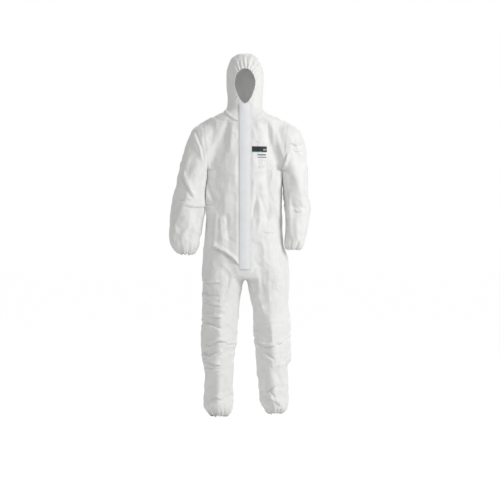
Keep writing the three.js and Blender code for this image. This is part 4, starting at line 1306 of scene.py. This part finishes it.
def tooth_mesh(name):
    """One moulded coil turn of the zip: a rounded block with a narrower nose."""
    bm = bmesh.new()
    bmesh.ops.create_cube(bm, size=1)
    for v in bm.verts:
        nose = v.co.x < 0
        v.co = Vector((v.co.x * 0.0026, v.co.y * 0.0024 * (0.8 if nose else 1), v.co.z * 0.0017 * (0.72 if nose else 1)))
    bmesh.ops.bevel(bm, geom=list(bm.edges), offset=0.0003, segments=1, affect="EDGES")
    mesh = bpy.data.meshes.new(name)
    bm.to_mesh(mesh)
    bm.free()
    return mesh


def rows_along(name, path, item, spacing, mat, turn=0.0):
    """Copies of one item set along a path at even spacing, by geometry nodes, as one mesh."""
    tree = bpy.data.node_groups.new(name + "_layout", "GeometryNodeTree")
    tree.interface.new_socket("Geometry", in_out="INPUT", socket_type="NodeSocketGeometry")
    spacing_in = tree.interface.new_socket("Spacing", in_out="INPUT", socket_type="NodeSocketFloat")
    item_in = tree.interface.new_socket("Item", in_out="INPUT", socket_type="NodeSocketObject")
    mat_in = tree.interface.new_socket("Finish", in_out="INPUT", socket_type="NodeSocketMaterial")
    turn_in = tree.interface.new_socket("Turn", in_out="INPUT", socket_type="NodeSocketFloat")
    tree.interface.new_socket("Geometry", in_out="OUTPUT", socket_type="NodeSocketGeometry")
    node = tree.nodes.new
    link = tree.links.new
    start, end = node("NodeGroupInput"), node("NodeGroupOutput")
    curve = node("GeometryNodeMeshToCurve")
    spots = node("GeometryNodeCurveToPoints")
    spots.mode = "LENGTH"
    info = node("GeometryNodeObjectInfo")
    place = node("GeometryNodeInstanceOnPoints")
    spin = node("GeometryNodeRotateInstances")
    angle = node("ShaderNodeCombineXYZ")
    real = node("GeometryNodeRealizeInstances")
    finish = node("GeometryNodeSetMaterial")
    link(start.outputs["Geometry"], curve.inputs["Mesh"])
    link(curve.outputs["Curve"], spots.inputs["Curve"])
    link(start.outputs["Spacing"], spots.inputs["Length"])
    link(start.outputs["Item"], info.inputs["Object"])
    link(spots.outputs["Points"], place.inputs["Points"])
    link(info.outputs["Geometry"], place.inputs["Instance"])
    link(spots.outputs["Rotation"], place.inputs["Rotation"])
    link(start.outputs["Turn"], angle.inputs["Z"])
    link(angle.outputs["Vector"], spin.inputs["Rotation"])
    link(place.outputs["Instances"], spin.inputs["Instances"])
    link(spin.outputs["Instances"], real.inputs["Geometry"])
    link(real.outputs["Geometry"], finish.inputs["Geometry"])
    link(start.outputs["Finish"], finish.inputs["Material"])
    link(finish.outputs["Geometry"], end.inputs["Geometry"])
    item_obj = bpy.data.objects.new(name + "_item", item)
    bpy.context.scene.collection.objects.link(item_obj)
    line = bpy.data.meshes.new(name + "_path")
    base, verts, edges = 0, [], []
    for points, closed in path:
        verts += [tuple(p) for p in points]
        edges += [(base + i, base + i + 1) for i in range(len(points) - 1)]
        if closed:
            edges.append((base + len(points) - 1, base))
        base += len(points)
    line.from_pydata(verts, edges, [])
    obj = scratch_object(name, line)
    layout = obj.modifiers.new("layout", "NODES")
    layout.node_group = tree
    layout[spacing_in.identifier] = spacing
    layout[item_in.identifier] = item_obj
    layout[mat_in.identifier] = mat
    layout[turn_in.identifier] = turn
    mesh = baked(obj)
    bpy.data.objects.remove(item_obj)
    mesh.name = name
    if not mesh.materials:
        mesh.materials.append(mat)
    return scratch_object(name, mesh)


for s, g in SIGN.items():
    sides = sorted((g * 1.1, g * 12.8))
    tape = sheet_grid(f"tape_{s}", np.linspace(*sides, 8), np.linspace(ZIP_LOW, ZIP_TOP, 140),
                      lambda x, z: np.full_like(x, TAPE_FRONT), 1.0)
    dress(tape, TAPE, "zip_tape", f"zip_tape_{s}")
    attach(tape, "torso")
    tooth = tooth_mesh(f"tooth_{s}")
    middle_y = (TEETH_FRONT + TEETH_BACK) / 2
    offset = 0.0 if g < 0 else PITCH / 2
    low, high = ZIP_LOW + 8 + offset, ZIP_TOP - 8
    spots = [frame_point(g * 2.1, middle_y, z) for z in np.arange(low, high, PITCH)]
    parts, faces, base = [], [], 0
    teeth = rows_along(f"teeth_{s}", [([spots[0], spots[-1]], False)], tooth, PITCH * 0.001, NYLON)
    dress(teeth, NYLON, "nylon", f"zip_teeth_{s}")
    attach(teeth, "torso")
    stop = block(f"top_stop_{s}", (g * 0.8, TEETH_FRONT, ZIP_TOP - 6), (g * 3.4, TEETH_BACK, ZIP_TOP), 0.5)
    dress(stop, METAL, "slider_metal", f"zip_top_stop_{s}")
    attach(stop, "torso")
stop = block("bottom_stop", (-3.4, TEETH_FRONT, ZIP_LOW), (3.4, TEETH_BACK, ZIP_LOW + 6), 0.6)
dress(stop, METAL, "slider_metal", "zip_bottom_stop")
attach(stop, "torso")


def joined(name, objects):
    """Several meshes at the origin as one."""
    bm = bmesh.new()
    for obj in objects:
        bm.from_mesh(obj.data)
        old = obj.data
        bpy.data.objects.remove(obj)
        bpy.data.meshes.remove(old)
    mesh = bpy.data.meshes.new(name)
    bm.to_mesh(mesh)
    bm.free()
    mesh.shade_smooth()
    return scratch_object(name, mesh)


SLIDER_TOP = ZIP_TOP - 8
SLIDER_LOW = SLIDER_TOP - 15
slider = joined("slider", [
    block("front_plate", (-4.5, FRONT - 1.9, SLIDER_LOW), (4.5, FRONT - 0.4, SLIDER_TOP), 0.6),
    block("back_plate", (-4.5, TAPE_FRONT + 1.5, SLIDER_LOW), (4.5, TAPE_FRONT + 3.0, SLIDER_TOP), 0.6),
    block("post", (-0.45, FRONT - 1.5, SLIDER_TOP - 5), (0.45, TAPE_FRONT + 2, SLIDER_TOP - 0.5), 0.1, 1),
    block("bridge", (-1.9, FRONT - 2.9, SLIDER_TOP - 10.5), (1.9, FRONT - 1.6, SLIDER_TOP - 4.5), 0.7),
])
dress(slider, METAL, "slider_metal", "zip_slider")
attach(slider, "zip_slider")


def pull_tab():
    """A tapered tab with a rounded foot and a slot near it."""
    bm = bmesh.new()
    top, foot = SLIDER_TOP - 4.6, SLIDER_TOP - 32.4
    outline = [(-1.6, top), (-2.2, top - 8), (-2.9, top - 16), (-2.9, foot + 3), (-2.1, foot + 0.9), (-0.9, foot)]
    outline += [(-x, z) for x, z in reversed(outline)]
    hole = [(-1.2, foot + 9), (-1.3, foot + 5), (-0.7, foot + 3), (0.7, foot + 3), (1.3, foot + 5), (1.2, foot + 9)]
    ring = [bm.verts.new((x, 0, z)) for x, z in outline]
    inner = [bm.verts.new((x, 0, z)) for x, z in hole]
    edges = [bm.edges.new((a, b)) for a, b in zip(ring, ring[1:] + ring[:1])]
    edges += [bm.edges.new((a, b)) for a, b in zip(inner, inner[1:] + inner[:1])]
    bmesh.ops.triangle_fill(bm, use_beauty=True, use_dissolve=False, edges=edges)
    faces = list(bm.faces)
    grown = bmesh.ops.extrude_face_region(bm, geom=faces)
    for item in grown["geom"]:
        if isinstance(item, bmesh.types.BMVert):
            item.co.y -= 0.7
    bmesh.ops.recalc_face_normals(bm, faces=bm.faces)
    for v in bm.verts:
        v.co = frame_point(v.co.x, v.co.y + FRONT - 2.3, v.co.z)
    mesh = bpy.data.meshes.new("pull_tab")
    bm.to_mesh(mesh)
    bm.free()
    return scratch_object("pull_tab", mesh)


tab = pull_tab()
dress(tab, METAL, "slider_metal", "zip_pull_tab")
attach(tab, "zip_pull_tab")

# ---------------------------------------------------------------- stitching


def seam_paths(first, second):
    """The lines where faces of one group of pieces meet another's, as lists of point numbers."""
    owner = {}
    steps = {}
    names = garment.names
    for i in np.nonzero(np.isin(names.astype(str), first + second))[0]:
        side = names[i] in first
        face = garment.faces[i]
        for a, b in zip(face, face[1:] + face[:1]):
            key = (min(a, b), max(a, b))
            if key in owner and owner[key] != side:
                steps.setdefault(a, []).append(b)
                steps.setdefault(b, []).append(a)
            owner[key] = side
    lines = []
    starts = sorted(steps, key=lambda v: (len(steps[v]) != 1, v))
    seen = set()
    for start in starts:
        if start in seen:
            continue
        line = [start]
        seen.add(start)
        while True:
            onward = [v for v in steps[line[-1]] if v not in seen]
            if not onward:
                break
            line.append(onward[0])
            seen.add(onward[0])
        if len(line) > 6:
            lines.append(line)
    return lines


def thread_mesh(name, length=0.0030, radius=0.00028):
    bm = bmesh.new()
    bmesh.ops.create_uvsphere(bm, u_segments=6, v_segments=4, radius=1)
    for v in bm.verts:
        v.co = Vector((v.co.x * radius, v.co.y * radius, v.co.z * length / 2))
    mesh = bpy.data.meshes.new(name)
    bm.to_mesh(mesh)
    bm.free()
    mesh.shade_smooth()
    return mesh


def sew(name, first, second, out=0.35):
    """One row of stitches along the seam between two groups of pieces."""
    paths = []
    for line in seam_paths(first, second):
        spots = garment.points[line] + garment.normals[line] * out
        for _ in range(2):
            spots[1:-1] = (spots[:-2] + 2 * spots[1:-1] + spots[2:]) / 4
        paths.append(([tuple(p) for p in to_frame(spots)], False))
    if not paths:
        return None
    obj = rows_along(name, paths, thread_mesh(name + "_thread"), 0.0042, THREAD)
    return obj


for s in SIGN:
    front, back_panel = [f"body_front_{s}"], [f"body_back_{s}"]
    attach(sew(f"stitches_side_{s}", front, back_panel), "torso")
    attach(sew(f"stitches_armhole_{s}", front + back_panel, [f"sleeve_upper_{s}"]), "torso")
    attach(sew(f"stitches_neck_{s}", front + back_panel, [f"hood_side_{s}", f"chin_{s}"]), "torso")
    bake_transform(sew(f"stitches_hood_{s}", [f"hood_side_{s}"], ["hood_centre"]))
    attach(sew(f"stitches_crotch_{s}", ["crotch_strip"], [f"leg_upper_{s}"]), "torso")
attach(sew("stitches_back", ["body_back_right"], ["body_back_left"]), "torso")


# ---------------------------------------------------------------- labels

from mathutils.bvhtree import BVHTree

skin_tree = BVHTree.FromPolygons([Vector(p) for p in garment.points], garment.faces)


def on_skin(x, z, start_y, way, out):
    y = np.empty_like(x)
    for i, spot in np.ndenumerate(x):
        hit = skin_tree.ray_cast(Vector((float(spot), start_y, float(z[i]))), Vector((0, way, 0)))[0]
        y[i] = hit.y if hit is not None else start_y
    return y - way * out


LABEL_TOP = SHOULDER - 127
label = sheet_grid("chest_patch", np.linspace(34, 113, 60), np.linspace(LABEL_TOP - 127, LABEL_TOP, 96),
                   lambda x, z: on_skin(x, z, -300, 1, 0.55), 0.35, uv=True)
dress(label, LABEL, "label", "chest_label")
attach(label, "torso")
size_tag = sheet_grid("size_tag", np.linspace(-22, 22, 16), np.linspace(COLLAR - 47, COLLAR - 2, 16),
                      lambda x, z: on_skin(x, z, 0, 1, 1.6), 0.4)
dress(size_tag, TAPE, "care_label", "neck_size_label")
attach(size_tag, "torso")


# ---------------------------------------------------------------- camera, light and floor

floor_mesh = mesh_of("floor", [(-30, -30, -1.49), (30, -30, -1.49), (30, 60, -1.49), (-30, 60, -1.49)], [(0, 1, 2, 3)])
floor = bpy.data.objects.new("floor", floor_mesh)
bpy.context.scene.collection.objects.link(floor)
floor_mat, floor_tree, floor_shader = material("studio_floor", (0.82, 0.82, 0.82), 0.9)
glow = add(floor_tree, "ShaderNodeEmission", Strength=1.06)
sight = add(floor_tree, "ShaderNodeLightPath")
share = add(floor_tree, "ShaderNodeMath", operation="MULTIPLY")
share.inputs[1].default_value = 0.9
floor_mix = add(floor_tree, "ShaderNodeMixShader")
floor_tree.links.new(sight.outputs["Is Camera Ray"], share.inputs[0])
floor_tree.links.new(share.outputs[0], floor_mix.inputs["Fac"])
floor_tree.links.new(floor_shader.outputs["BSDF"], floor_mix.inputs[1])
floor_tree.links.new(glow.outputs["Emission"], floor_mix.inputs[2])
floor_tree.links.new(floor_mix.outputs["Shader"], floor_tree.nodes["Material Output"].inputs["Surface"])
floor_mesh.materials.append(floor_mat)

camera_data = bpy.data.cameras.new("camera")
camera_data.sensor_width = 36
camera_data.lens = 36 * 8.0 / 2.45
camera = bpy.data.objects.new("camera", camera_data)
camera.location = (0.0245, -8.11, -0.659)
camera.rotation_euler = (math.pi / 2, 0, 0)
bpy.context.scene.collection.objects.link(camera)
bpy.context.scene.camera = camera


def area_light(name, place, aim, size, power, colour=(1, 1, 1)):
    data = bpy.data.lights.new(name, "AREA")
    data.shape = "RECTANGLE"
    data.size, data.size_y = size
    data.energy = power
    data.color = colour
    light = bpy.data.objects.new(name, data)
    light.location = place
    direction = Vector(aim) - Vector(place)
    light.rotation_euler = direction.to_track_quat("-Z", "Y").to_euler()
    bpy.context.scene.collection.objects.link(light)
    return light


area_light("key", (3.6, -2.6, 1.3), (0, 0, -0.6), (1.2, 2.0), 118)
area_light("fill", (-2.2, -4.2, 1.2), (0, 0, -0.15), (2.0, 2.0), 14)
area_light("back", (0.4, 4.0, 2.2), (0, 0, -0.4), (3.0, 2.0), 110)

inner_data = bpy.data.lights.new("hood_glow", "POINT")
inner_data.energy = 0.06
inner_data.shadow_soft_size = 0.04
inner = bpy.data.objects.new("hood_glow", inner_data)
inner.location = frame_point(0, -20, CHIN + 100)
inner.visible_camera = False
bpy.context.scene.collection.objects.link(inner)

world = bpy.data.worlds.new("studio")
world.use_nodes = True
tree = world.node_tree
background = tree.nodes["Background"]
background.inputs["Color"].default_value = (1, 1, 1, 1)
background.inputs["Strength"].default_value = 0.50
seen = tree.nodes.new("ShaderNodeBackground")
seen.inputs["Color"].default_value = (1, 1, 1, 1)
seen.inputs["Strength"].default_value = 1.0
path = tree.nodes.new("ShaderNodeLightPath")
both = tree.nodes.new("ShaderNodeMixShader")
tree.links.new(path.outputs["Is Camera Ray"], both.inputs["Fac"])
tree.links.new(background.outputs["Background"], both.inputs[1])
tree.links.new(seen.outputs["Background"], both.inputs[2])
tree.links.new(both.outputs["Shader"], tree.nodes["World Output"].inputs["Surface"])
bpy.context.scene.world = world
bpy.context.scene.view_settings.view_transform = "Standard"
